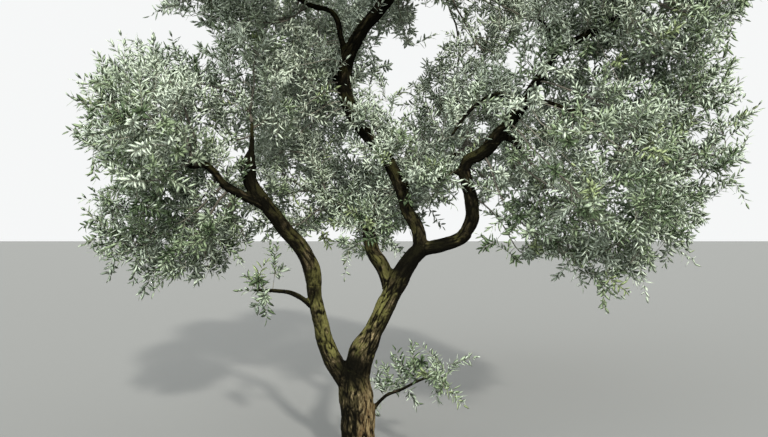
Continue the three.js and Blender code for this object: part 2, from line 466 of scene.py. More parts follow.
@dataclass(frozen=True)
class StudioLight:
    """A light that shines evenly from one side.

    Attributes:
        name: Its name.
        strength: How strong it is.
        width: How wide it looks, in degrees; a wide one casts soft shadows.
        lean: The direction that it shines from.
        tone: Its colour.
    """

    name: str
    strength: float
    width: float
    lean: Triple
    tone: Colour

    def set_up(self) -> None:
        """Adds the light to the scene."""
        data = bpy.data.lights.new(self.name, "SUN")
        data.energy = self.strength
        data.angle = math.radians(self.width)
        data.color = self.tone
        light = add_object(self.name, data)
        light.rotation_euler = Vector(self.lean).to_track_quat("Z", "Y").to_euler()


@dataclass(frozen=True)
class Studio:
    """A plain pale floor, a key light from the upper right, a soft one from the left and an even sky.

    Attributes:
        floor_half: Half the floor's width, in metres.
        floor_tone: The floor's colour.
        floor_roughness: How dull the floor is.
        sky_tone: The sky's colour.
        sky_strength: How bright the sky is.
        key: The main light.
        fill: The light that softens the main one's shadows.
    """

    floor_half: float = 60.0
    floor_tone: Colour = (0.215, 0.22, 0.21)
    floor_roughness: float = 0.9
    sky_tone: Colour = (0.87, 0.88, 0.88)
    sky_strength: float = 1.06
    key: StudioLight = StudioLight("key_light", 3.9, 3.0, (0.25, -1.0, 0.5), (1.0, 0.965, 0.91))
    fill: StudioLight = StudioLight("fill_light", 3.9, 70.0, (-0.35, -1.0, 0.25), (0.93, 0.97, 1.0))

    def set_up(self) -> None:
        """Adds the floor, the two lights and the sky."""
        select_none()
        bpy.ops.mesh.primitive_plane_add(size=2 * self.floor_half)
        floor = bpy.context.active_object
        floor.name = "studio_floor"
        floor.data.materials.append(plain_material("studio_floor", self.floor_tone, self.floor_roughness))
        self.key.set_up()
        self.fill.set_up()
        world = bpy.data.worlds.new("studio_sky")
        world.use_nodes = True
        sky = world.node_tree.nodes["Background"]
        sky.inputs["Color"].default_value = (*self.sky_tone, 1.0)
        sky.inputs["Strength"].default_value = self.sky_strength
        bpy.context.scene.world = world
        bpy.context.scene.view_settings.view_transform = "Standard"


# Finishes


def plain_material(name: str, tone: Colour, roughness: float) -> Material:
    """Makes a material of one tone.

    Args:
        name: The material's name.
        tone: Its colour.
        roughness: How dull it is, from 0 to 1.

    Returns:
        The material, with both values on the shader's own sockets.
    """
    material = bpy.data.materials.new(name)
    material.use_nodes = True
    shader = material.node_tree.nodes["Principled BSDF"]
    shader.inputs["Base Color"].default_value = (*tone, 1.0)
    shader.inputs["Roughness"].default_value = roughness
    return material


@dataclass(frozen=True)
class Wiring:
    """A short way to add and join the nodes of one tree.

    Attributes:
        tree: The tree that nodes are added to.
    """

    tree: bpy.types.NodeTree

    def node(self, kind: str, **settings: object) -> bpy.types.Node:
        """Adds a node.

        Args:
            kind: The node's type name.
            **settings: Properties of the node, or values of its inputs by name with _ for a space.

        Returns:
            The new node.
        """
        made = self.tree.nodes.new(kind)
        for key, value in settings.items():
            if hasattr(made, key):
                setattr(made, key, value)
            else:
                self.put(made.inputs[key.replace("_", " ")], value)
        return made

    def put(self, socket: Socket, value: object) -> None:
        """Joins another socket to this one, or sets its value.

        Args:
            socket: The input.
            value: A socket, a number, a vector, or a colour of three numbers.
        """
        if isinstance(value, Socket):
            self.tree.links.new(value, socket)
        elif isinstance(value, tuple) and len(value) == 3 and socket.type == "RGBA":
            socket.default_value = (*value, 1.0)
        else:
            socket.default_value = value

    def noise(self, vector: Socket, scale: float, detail: float, roughness: float) -> Socket:
        """The strength of a noise texture on a vector."""
        settings = {"Vector": vector, "Scale": scale, "Detail": detail, "Roughness": roughness}
        return self.node("ShaderNodeTexNoise", **settings).outputs["Fac"]

    def maths(self, operation: str, a: object, b: object = 0.0) -> Socket:
        """Works on two values.

        Args:
            operation: The Math node's operation.
            a: A number or a socket.
            b: Another.

        Returns:
            The result.
        """
        made = self.node("ShaderNodeMath", operation=operation)
        self.put(made.inputs[0], a)
        self.put(made.inputs[1], b)
        return made.outputs[0]

    def plus(self, a: object, b: object) -> Socket:
        """The sum of two values or sockets."""
        return self.maths("ADD", a, b)

    def times(self, a: object, b: object) -> Socket:
        """The product of two values or sockets."""
        return self.maths("MULTIPLY", a, b)

    def vectors(self, operation: str, a: object, b: object = (0.0, 0.0, 0.0)) -> bpy.types.Node:
        """Works on two vectors.

        Args:
            operation: The Vector Math node's operation.
            a: A vector or a socket.
            b: Another.

        Returns:
            The node, with its result on Vector or, where it is one number, on Value.
        """
        made = self.node("ShaderNodeVectorMath", operation=operation)
        self.put(made.inputs[0], a)
        self.put(made.inputs[1], b)
        return made

    def parts(self, vector: Socket) -> bpy.types.NodeOutputs:
        """The outputs X, Y and Z of a vector."""
        made = self.node("ShaderNodeSeparateXYZ", Vector=vector)
        return made.outputs

    def ramp(self, value: object, low: float, high: float) -> Socket:
        """Spreads a value smoothly.

        Args:
            value: A number or a socket.
            low: The value that gives 0.
            high: The value that gives 1; it may be the smaller one.

        Returns:
            A share from 0 to 1.
        """
        made = self.node("ShaderNodeMapRange", interpolation_type="SMOOTHSTEP")
        self.put(made.inputs["Value"], value)
        self.put(made.inputs["From Min"], low)
        self.put(made.inputs["From Max"], high)
        return made.outputs["Result"]

    def blend(self, share: object, a: object, b: object) -> Socket:
        """Mixes two colours.

        Args:
            share: How much of the second colour, from 0 to 1.
            a: A colour or a socket.
            b: Another.

        Returns:
            The mixed colour.
        """
        made = self.node("ShaderNodeMix", data_type="RGBA")
        self.put(made.inputs[0], share)
        self.put(made.inputs[6], a)
        self.put(made.inputs[7], b)
        return made.outputs[2]


@dataclass(frozen=True)
class Crackle:
    """The cracked skin of old wood, shared by the bark of the limbs and of the branches.

    Attributes:
        name: The node group's name.
        wander, wander_detail: How far and how finely the cracks wander from straight lines.
        crack_width, crack_share: How wide their slopes are, and how much they count in the height.
        grain_scale, grain_detail, grain_roughness, grain_share: How much finer the grain on the
            plates is than they are, how it is broken up, and how much it counts.
    """

    name: str = "crackle"
    wander: float = 0.02
    wander_detail: float = 3.0
    crack_width: float = 0.16
    crack_share: float = 0.6
    grain_scale: float = 3.0
    grain_detail: float = 5.0
    grain_roughness: float = 0.65
    grain_share: float = 0.6

    def group(self) -> bpy.types.NodeTree:
        """Builds the group, or finds it where it is already built.

        Returns:
            A group that takes a vector and a scale and puts out a height.
        """
        if self.name in bpy.data.node_groups:
            return bpy.data.node_groups[self.name]
        group = bpy.data.node_groups.new(self.name, "ShaderNodeTree")
        group.interface.new_socket("Vector", in_out="INPUT", socket_type="NodeSocketVector")
        group.interface.new_socket("Scale", in_out="INPUT", socket_type="NodeSocketFloat")
        group.interface.new_socket("Height", in_out="OUTPUT", socket_type="NodeSocketFloat")
        wiring = Wiring(group)
        inside = wiring.node("NodeGroupInput").outputs
        vector, scale = inside["Vector"], inside["Scale"]
        warp = wiring.node("ShaderNodeTexNoise", Vector=vector, Scale=scale, Detail=self.wander_detail)
        bent = wiring.node("ShaderNodeVectorMath", operation="SCALE", Scale=self.wander)
        wiring.put(bent.inputs[0], warp.outputs["Color"])
        moved = wiring.vectors("ADD", vector, bent.outputs["Vector"])
        plates = wiring.node("ShaderNodeTexVoronoi", feature="DISTANCE_TO_EDGE", Scale=scale)
        wiring.put(plates.inputs["Vector"], moved.outputs["Vector"])
        cracks = wiring.ramp(plates.outputs["Distance"], 0.0, self.crack_width)
        fine = wiring.times(scale, self.grain_scale)
        grain = wiring.noise(vector, fine, self.grain_detail, self.grain_roughness)
        height = wiring.plus(wiring.times(cracks, self.crack_share), wiring.times(grain, self.grain_share))
        wiring.put(wiring.node("NodeGroupOutput").inputs["Height"], height)
        return group

    def relief(self, wiring: Wiring, vector: Socket, scale: float, strength: float, depth: float) -> Socket:
        """Places the group in a material and turns its height into a bumpy surface.

        Args:
            wiring: The material's nodes.
            vector: What the pattern follows.
            scale: How fine the plates are.
            strength: How strong the bumps are, from 0 to 1.
            depth: How deep they are, in metres.

        Returns:
            The normal of the bumpy surface.
        """
        placed = wiring.node("ShaderNodeGroup", node_tree=self.group())
        wiring.put(placed.inputs["Vector"], vector)
        placed.inputs["Scale"].default_value = scale
        bump = wiring.node("ShaderNodeBump", Strength=strength, Distance=depth)
        wiring.put(bump.inputs["Height"], placed.outputs["Height"])
        return bump.outputs["Normal"]


@dataclass(frozen=True)
class BarkFields:
    """What the bark's colours are worked out from at each point.

    Attributes:
        grain: The place along and round the limb.
        place: The place in the tree.
        spot: The parts of that place.
        facing: The parts of the surface's normal.
        flakes: Fine noise along the grain.
        streaks: Coarse noise along the grain.
        patches: Noise in patches as wide as a hand.
        height: How far the point stands out of the cracks.
        low: How near it lies to the trunk's foot, from 0 to 1.
    """

    grain: Socket
    place: Socket
    spot: bpy.types.NodeOutputs
    facing: bpy.types.NodeOutputs
    flakes: Socket
    streaks: Socket
    patches: Socket
    height: Socket
    low: Socket


@dataclass(frozen=True)
class BarkFinish:
    """Dark bark in long flakes, with moss in patches, bare reddish wood low on the trunk that is partly
    painted light, and painted shade.

    A span holds the values that give none and all of what it is named for.

    Attributes:
        dark, mid, pale: The tones of cracks, of flakes and of their raised edges; the near-black crack tone
            is partly the bark's own colour and partly painted shade in the cracks, and it is the tone of
            all the painted shade.
        moss: The tone of the moss.
        rust_and_light, rust_deep: The tones of the bare reddish wood, partly its own colour and partly
            painted light on the trunk's right side, and of its grain.
        roughness, shine: How dull the bark is, and how much it shines.
        flake_scale: How fine the flakes are.
        relief_strength, relief_depth: How strong the bumps are, and how deep, in metres.
        mid_span, pale_span: Heights of the bark.
        moss_span, moss_rise, moss_flakes: Noise, height above the ground and height of the bark.
        moss_up, moss_streaks, moss_gain: What upper sides, the grain and the mossy spots add.
        underside_shade_span, left_shade_span: How much a surface faces up, and right, for the painted shade
            on undersides and on the trunk's left side.
        low_span, foot_span: Heights above the ground where the trunk's foot begins, and where the
            bare wood ends again.
        rust_left, rust_right, rust_wander: Where the bare wood's two edges lie to the right, and
            how much the left one wanders.
        rust_flakes, rust_grain: Height of the bark, and noise between the bare wood's two tones.
        thin_span, high_span: Radii, and heights above the ground, of the thin and high limbs that get
            painted shade.
        foot_share, left_shade_share, high_shade_share, shade_spot_share, cover_and_shade: How strong each
        effect is, the middle three being painted shade, and the last that of the moss, of the bare wood
        with its painted light, and of the painted shade on undersides.
        spot_core: The part of a spot's radius that lies wholly in it.
        shade_spots, mossed: The middle and the radius of each spot of painted shade and of each mossy one.
    """

    # Near black: partly the cracks' own colour, partly painted shade; all the painted shade uses it too.
    dark: Colour = (0.0022, 0.002, 0.001)
    mid: Colour = (0.042, 0.035, 0.016)
    pale: Colour = (0.20, 0.155, 0.085)
    moss: Colour = (0.102, 0.098, 0.031)
    # Bare reddish wood as pale as the raised flakes: partly its own colour, partly painted light on the
    # trunk's right side.
    rust_and_light: Colour = (0.19, 0.145, 0.073)
    rust_deep: Colour = (0.062, 0.034, 0.014)
    roughness: float = 0.9
    shine: float = 0.04
    flake_scale: float = 46.0
    relief_strength: float = 0.8
    relief_depth: float = 0.008
    mid_span: Span = (0.66, 0.92)
    pale_span: Span = (0.90, 1.10)
    moss_span: Span = (0.63, 0.84)
    moss_rise: Span = (0.55, 1.0)
    moss_flakes: Span = (0.55, 0.85)
    moss_up: float = 0.10
    moss_streaks: float = 0.35
    moss_gain: float = 0.12
    # Painted shade on surfaces that face down.
    underside_shade_span: Span = (0.12, -0.3)
    low_span: Span = (0.95, 0.45)
    foot_span: Span = (0.42, 0.12)
    foot_share: float = 0.6
    rust_left: Span = (0.05, 0.14)
    rust_right: Span = (0.2, 0.16)
    rust_wander: float = 0.16
    rust_flakes: Span = (0.58, 0.88)
    rust_grain: Span = (0.36, 0.62)
    # Painted shade on the trunk's left side, low down.
    left_shade_span: Span = (0.0, -0.7)
    left_shade_share: float = 0.75
    # Painted shade on the thin and the high limbs, which lie in the crown's shadow.
    thin_span: Span = (0.05, 0.025)
    high_span: Span = (1.3, 2.1)
    high_shade_share: float = 0.82
    # How dark the spots of painted shade go.
    shade_spot_share: float = 0.97
    # How strong the moss, the bare wood with its painted light, and the painted shade on undersides are.
    cover_and_shade: float = 0.9
    spot_core: float = 0.35
    # Spots of painted shade, such as the fork's crotch and the top of a stem.
    shade_spots: tuple[Spot, ...] = (
        ((-0.06, -0.08, 0.88), 0.20),
        ((0.36, 0.0, 1.70), 0.30),
        ((-0.80, -0.17, 2.42), 0.42),
        ((0.62, 0.0, 1.76), 0.20),
    )
    mossed: tuple[Spot, ...] = (
        ((-0.34, -0.12, 1.50), 0.26),
        ((0.19, -0.04, 1.33), 0.26),
        ((-0.22, -0.08, 1.12), 0.2),
    )

    def material(self) -> Material:
        """Builds the material.

        Returns:
            A node material that reads the limb mesh's own grain and relief.
        """
        material = bpy.data.materials.new("olive_bark")
        material.use_nodes = True
        wiring = Wiring(material.node_tree)
        shader = material.node_tree.nodes["Principled BSDF"]
        fields = self._fields(wiring)
        # Cracks go near black: partly the bark's colour, partly painted shade in them.
        tone = wiring.blend(wiring.ramp(fields.height, *self.mid_span), self.dark, self.mid)
        tone = wiring.blend(wiring.ramp(fields.height, *self.pale_span), tone, self.pale)
        tone = wiring.blend(self._moss_share(wiring, fields), tone, self.moss)
        # Painted shade: surfaces that face down are blended to the near-black tone.
        under = wiring.times(wiring.ramp(fields.facing["Z"], *self.underside_shade_span), self.cover_and_shade)
        tone = wiring.blend(under, tone, self.dark)
        # Bare reddish wood, partly painted light on the trunk's right side.
        bare = wiring.blend(wiring.ramp(fields.flakes, *self.rust_grain), self.rust_deep, self.rust_and_light)
        tone = wiring.blend(self._rust_and_light_share(wiring, fields), tone, bare)
        # Painted shade: the left side of the trunk's foot is blended to the near-black tone.
        left = wiring.times(wiring.ramp(fields.facing["X"], *self.left_shade_span), fields.low)
        tone = wiring.blend(wiring.times(left, self.left_shade_share), tone, self.dark)
        # Painted shade on the thin and the high limbs and in the spots.
        tone = wiring.blend(self._shade_share(wiring, fields), tone, self.dark)
        wiring.put(shader.inputs["Base Color"], tone)
        shader.inputs["Roughness"].default_value = self.roughness
        shader.inputs["Specular IOR Level"].default_value = self.shine
        relief = Crackle().relief(
            wiring, fields.grain, self.flake_scale, self.relief_strength, self.relief_depth
        )
        wiring.put(shader.inputs["Normal"], relief)
        return material

    def _fields(self, wiring: Wiring) -> BarkFields:
        """Adds the nodes that the colours are worked out from.

        Args:
            wiring: The material's nodes.

        Returns:
            Their outputs.
        """
        grain = wiring.node("ShaderNodeAttribute", attribute_name="grain").outputs["Vector"]
        relief = wiring.node("ShaderNodeAttribute", attribute_name="relief").outputs["Fac"]
        place = wiring.node("ShaderNodeTexCoord").outputs["Object"]
        spot = wiring.parts(place)
        flakes = wiring.noise(grain, self.flake_scale, 4.0, 0.62)
        return BarkFields(
            grain=grain,
            place=place,
            spot=spot,
            facing=wiring.parts(wiring.node("ShaderNodeNewGeometry").outputs["Normal"]),
            flakes=flakes,
            streaks=wiring.noise(grain, 13.0, 3.0, 0.6),
            patches=wiring.noise(place, 9.0, 3.0, 0.6),
            height=wiring.plus(wiring.times(relief, 0.5), wiring.times(flakes, 0.9)),
            low=wiring.ramp(spot["Z"], *self.low_span),
        )

    def _moss_share(self, wiring: Wiring, fields: BarkFields) -> Socket:
        """How much moss covers each point.

        Args:
            wiring: The material's nodes.
            fields: What the share is worked out from.

        Returns:
            A share: more on upper sides and in the mossy spots, none near the ground or in cracks.
        """
        near = self._near(wiring, fields.place, self.mossed)
        mossy = wiring.plus(fields.patches, wiring.times(fields.facing["Z"], self.moss_up))
        mossy = wiring.plus(mossy, wiring.times(fields.streaks, self.moss_streaks))
        mossy = wiring.plus(mossy, wiring.times(near, self.moss_gain))
        above = wiring.ramp(fields.spot["Z"], *self.moss_rise)
        share = wiring.times(wiring.ramp(mossy, *self.moss_span), above)
        lively = wiring.times(share, wiring.ramp(fields.height, *self.moss_flakes))
        return wiring.times(lively, self.cover_and_shade)

    def _rust_and_light_share(self, wiring: Wiring, fields: BarkFields) -> Socket:
        """How much of each point is bare reddish wood, partly painted light on the trunk's right side.

        Args:
            wiring: The material's nodes.
            fields: What the share is worked out from.

        Returns:
            A share: only in one strip low on the trunk's right, and less at its very foot.
        """
        foot = wiring.times(wiring.ramp(fields.spot["Z"], *self.foot_span), self.foot_share)
        # Only the strip on the trunk's right side, where the painted light lies.
        worn_and_lit = wiring.times(fields.low, wiring.maths("SUBTRACT", 1.0, foot))
        edge = wiring.plus(fields.spot["X"], wiring.times(fields.streaks, self.rust_wander))
        left, right = wiring.ramp(edge, *self.rust_left), wiring.ramp(fields.spot["X"], *self.rust_right)
        strip = wiring.times(worn_and_lit, wiring.times(left, right))
        return wiring.times(wiring.times(strip, wiring.ramp(fields.height, *self.rust_flakes)), self.cover_and_shade)

    def _shade_share(self, wiring: Wiring, fields: BarkFields) -> Socket:
        """How much painted shade darkens the thin and the high limbs and the spots of painted shade.

        Args:
            wiring: The material's nodes.
            fields: What the share is worked out from.

        Returns:
            A share of the dark tone.
        """
        across = wiring.vectors("MULTIPLY", fields.grain, (1.0, 1.0, 0.0))
        girth = wiring.vectors("LENGTH", across.outputs["Vector"])
        thin = wiring.ramp(girth.outputs["Value"], *self.thin_span)
        high = wiring.ramp(fields.spot["Z"], *self.high_span)
        # Painted shade: the thin and the high limbs go near black.
        deep = wiring.times(wiring.maths("MAXIMUM", thin, high), self.high_shade_share)
        # Painted shade: the spots go nearly black.
        spot_shade = wiring.times(self._near(wiring, fields.place, self.shade_spots), self.shade_spot_share)
        return wiring.maths("MAXIMUM", deep, spot_shade)

    def _near(self, wiring: Wiring, place: Socket, spots: tuple[Spot, ...]) -> Socket:
        """How near each point lies to the middle of a spot, from 0 at its edge to 1.

        Args:
            wiring: The material's nodes.
            place: The point's place.
            spots: The middle and the radius of each spot.

        Returns:
            The largest nearness.
        """
        nearest: object = 0.0
        for middle, radius in spots:
            gap = wiring.vectors("DISTANCE", place, middle)
            share = wiring.ramp(gap.outputs["Value"], radius, self.spot_core * radius)
            nearest = wiring.maths("MAXIMUM", nearest, share)
        return nearest


@dataclass(frozen=True)
class TwigFinish:
    """The grey-green skin of young wood, of one tone with fine cracks.

    Attributes:
        name: The material's name.
        tone: Its colour.
        roughness: How dull it is.
        scale: How fine its cracks are.
        relief_strength: How strong their bumps are.
        relief_depth: How deep they are, in metres.
    """

    name: str
    tone: Colour
    roughness: float
    scale: float
    relief_strength: float = 0.5
    relief_depth: float = 0.002

    def material(self) -> Material:
        """Builds the material.

        Returns:
            A material with its colour on the shader's own socket.
        """
        material = plain_material(self.name, self.tone, self.roughness)
        wiring = Wiring(material.node_tree)
        shader = material.node_tree.nodes["Principled BSDF"]
        place = wiring.node("ShaderNodeTexCoord").outputs["Object"]
        relief = Crackle().relief(wiring, place, self.scale, self.relief_strength, self.relief_depth)
        wiring.put(shader.inputs["Normal"], relief)
        return material


class YoungWood(Enum):
    """The finishes of the wood that grows on from the limbs."""

    BRANCH = TwigFinish("branch_bark", (0.075, 0.066, 0.05), 0.9, 60.0)
    TWIG = TwigFinish("twig_bark", (0.16, 0.15, 0.115), 0.85, 120.0)
    SHOOT = TwigFinish("shoot_bark", (0.26, 0.26, 0.19), 0.8, 150.0)


@dataclass(frozen=True)
class LeafFinish:
    """One side of a leaf: a tone, and a gloss that varies a little from leaf to leaf.

    Attributes:
        name: The material's name.
        tone: Its colour.
        gloss_low: The lowest roughness.
        gloss_high: The highest roughness.
        shine: How much it shines.
        mottle_scale: How fast the gloss varies from place to place.
        mottle_detail: How finely it does so.
    """

    name: str
    tone: Colour
    gloss_low: float
    gloss_high: float
    shine: float = 0.3
    mottle_scale: float = 40.0
    mottle_detail: float = 2.0

    def material(self) -> Material:
        """Builds the material.

        Returns:
            A material with its colour on the shader's own socket.
        """
        material = plain_material(self.name, self.tone, self.gloss_high)
        wiring = Wiring(material.node_tree)
        shader = material.node_tree.nodes["Principled BSDF"]
        place = wiring.node("ShaderNodeTexCoord").outputs["Object"]
        mottle = wiring.noise(place, self.mottle_scale, self.mottle_detail, 0.5)
        gloss = wiring.node("ShaderNodeMapRange", Value=mottle)
        gloss.inputs["To Min"].default_value = self.gloss_low
        gloss.inputs["To Max"].default_value = self.gloss_high
        wiring.put(shader.inputs["Roughness"], gloss.outputs["Result"])
        shader.inputs["Specular IOR Level"].default_value = self.shine
        return material


class LeafTone(Enum):
    """The upper-side tones that sprays of leaves are dealt."""

    GREY = LeafFinish("leaf_grey_green", (0.345, 0.415, 0.285), 0.44, 0.62)
    MID = LeafFinish("leaf_olive_green", (0.225, 0.29, 0.165), 0.40, 0.58)
    DARK = LeafFinish("leaf_dark_green", (0.088, 0.128, 0.062), 0.36, 0.54)
    # The palest tone, dealt mostly to the crown's middle as painted light.
    SILVER = LeafFinish("leaf_silver_green", (0.52, 0.59, 0.465), 0.44, 0.64)
    YOUNG = LeafFinish("leaf_young_green", (0.27, 0.33, 0.16), 0.42, 0.60)


class LeafUnderside(Enum):
    """The underside tones: a pale one for the grey and silver leaves and a duller one for the rest."""

    PALE = LeafFinish("leaf_silver_underside", (0.50, 0.57, 0.45), 0.50, 0.70)
    DULL = LeafFinish("leaf_grey_underside", (0.37, 0.435, 0.33), 0.50, 0.70)


# Limbs in bark


@dataclass(frozen=True)
class Relief:
    """How the bark and the wood under it stand in and out of a limb's round skin.

    Attributes:
        stretch: The scale of the flakes along the limb, below 1 for long ones.
        fissure_scale, fissure_edge, fissure_share: How fine and how steep the deep fissures are,
            and how much they count.
        flake_scale, flake_edge, flake_share: The same of the flakes.
        sinew_scale, sinew_share: How fine the long swellings are, round the limb and along it, and
            how much they count.
        lump_scale, lump_share: The same of the lumps.
        depths: The least and the most radius that the relief grows with.
        swell: How far swellings and lumps stand out, as a share of that radius.
        least_ridge, ridge: How far the bark stands out on any limb, in metres, and how much
            further, as a share of that radius.
        level: The height of the bark that stays where the skin is.
    """

    stretch: float = 0.3
    fissure_scale: float = 27.0
    fissure_edge: float = 4.5
    fissure_share: float = 0.62
    flake_scale: float = 60.0
    flake_edge: float = 4.0
    flake_share: float = 0.38
    sinew_scale: Span = (1.5, 1.9)
    sinew_share: float = 0.9
    lump_scale: float = 9.0
    lump_share: float = 0.8
    depths: Span = (0.01, 0.13)
    swell: float = 0.15
    least_ridge: float = 0.001
    ridge: float = 0.05
    level: float = 0.6

    def heights(
        self, grain: np.ndarray, points: np.ndarray, turn: np.ndarray, run: np.ndarray
    ) -> tuple[np.ndarray, np.ndarray]:
        """Works out the swellings and the bark's height at each point.

        Args:
            grain: The place along and round the limb, stretched for the flakes.
            points: The place in the tree.
            turn: The angle round the limb.
            run: The length along it.

        Returns:
            The swellings and lumps, from about -1 to 1, and the bark's height, from 0 to 1.
        """
        around, along = self.sinew_scale
        sinew = np.stack((np.cos(turn) * around, np.sin(turn) * around, run * along), axis=1)
        swellings = np.empty(len(points))
        ridges = np.empty(len(points))
        for number, (here, there, long) in enumerate(zip(grain.tolist(), points.tolist(), sinew.tolist())):
            fissure = min(1.0, abs(noise.noise(Vector(here) * self.fissure_scale)) * self.fissure_edge)
            flake = min(1.0, abs(noise.noise(Vector(here) * self.flake_scale)) * self.flake_edge)
            ridges[number] = self.fissure_share * fissure + self.flake_share * flake
            lump = self.lump_share * noise.noise(Vector(there) * self.lump_scale)
            swellings[number] = self.sinew_share * noise.noise(Vector(long)) + lump
        return swellings, ridges

    def shift(self, radius: np.ndarray, swellings: np.ndarray, ridges: np.ndarray) -> np.ndarray:
        """How far each point moves outwards, in metres.

        Args:
            radius: The limb's radius there.
            swellings: The swellings and lumps.
            ridges: The bark's height.

        Returns:
            A distance for each point, below 0 for inwards.
        """
        depth = np.clip(radius, *self.depths)
        bark = (self.least_ridge + self.ridge * depth) * (ridges - self.level)
        return self.swell * depth * swellings + bark


@dataclass
class MiddleLines:
    """Fine samples of all limbs' middle lines, one in each row of each array.

    Attributes:
        points: Where each sample lies.
        radii: The limb's radius there.
        ways: The limb's direction there.
        sides: A vector to the side, which turns as little as it can along the limb.
        runs: The length along the limb, with a start of its own for each.
        numbers: The limb's number.
    """

    points: np.ndarray
    radii: np.ndarray
    ways: np.ndarray
    sides: np.ndarray
    runs: np.ndarray
    numbers: np.ndarray

    def nearest(self, points: np.ndarray, owners: np.ndarray) -> np.ndarray:
        """Finds the sample of its own limb's middle line that lies nearest to each point.

        Args:
            points: The points of the skin.
            owners: The number of the limb that each lies on.

        Returns:
            The sample's number for each point.
        """
        near = np.zeros(len(points), np.int64)
        for number in np.unique(self.numbers):
            mine = np.flatnonzero(owners == number)
            samples = np.flatnonzero(self.numbers == number)
            tree = KDTree(len(samples))
            for sample in samples:
                tree.insert(self.points[sample], sample)
            tree.balance()
            near[mine] = [tree.find(point)[1] for point in points[mine]]
        return near


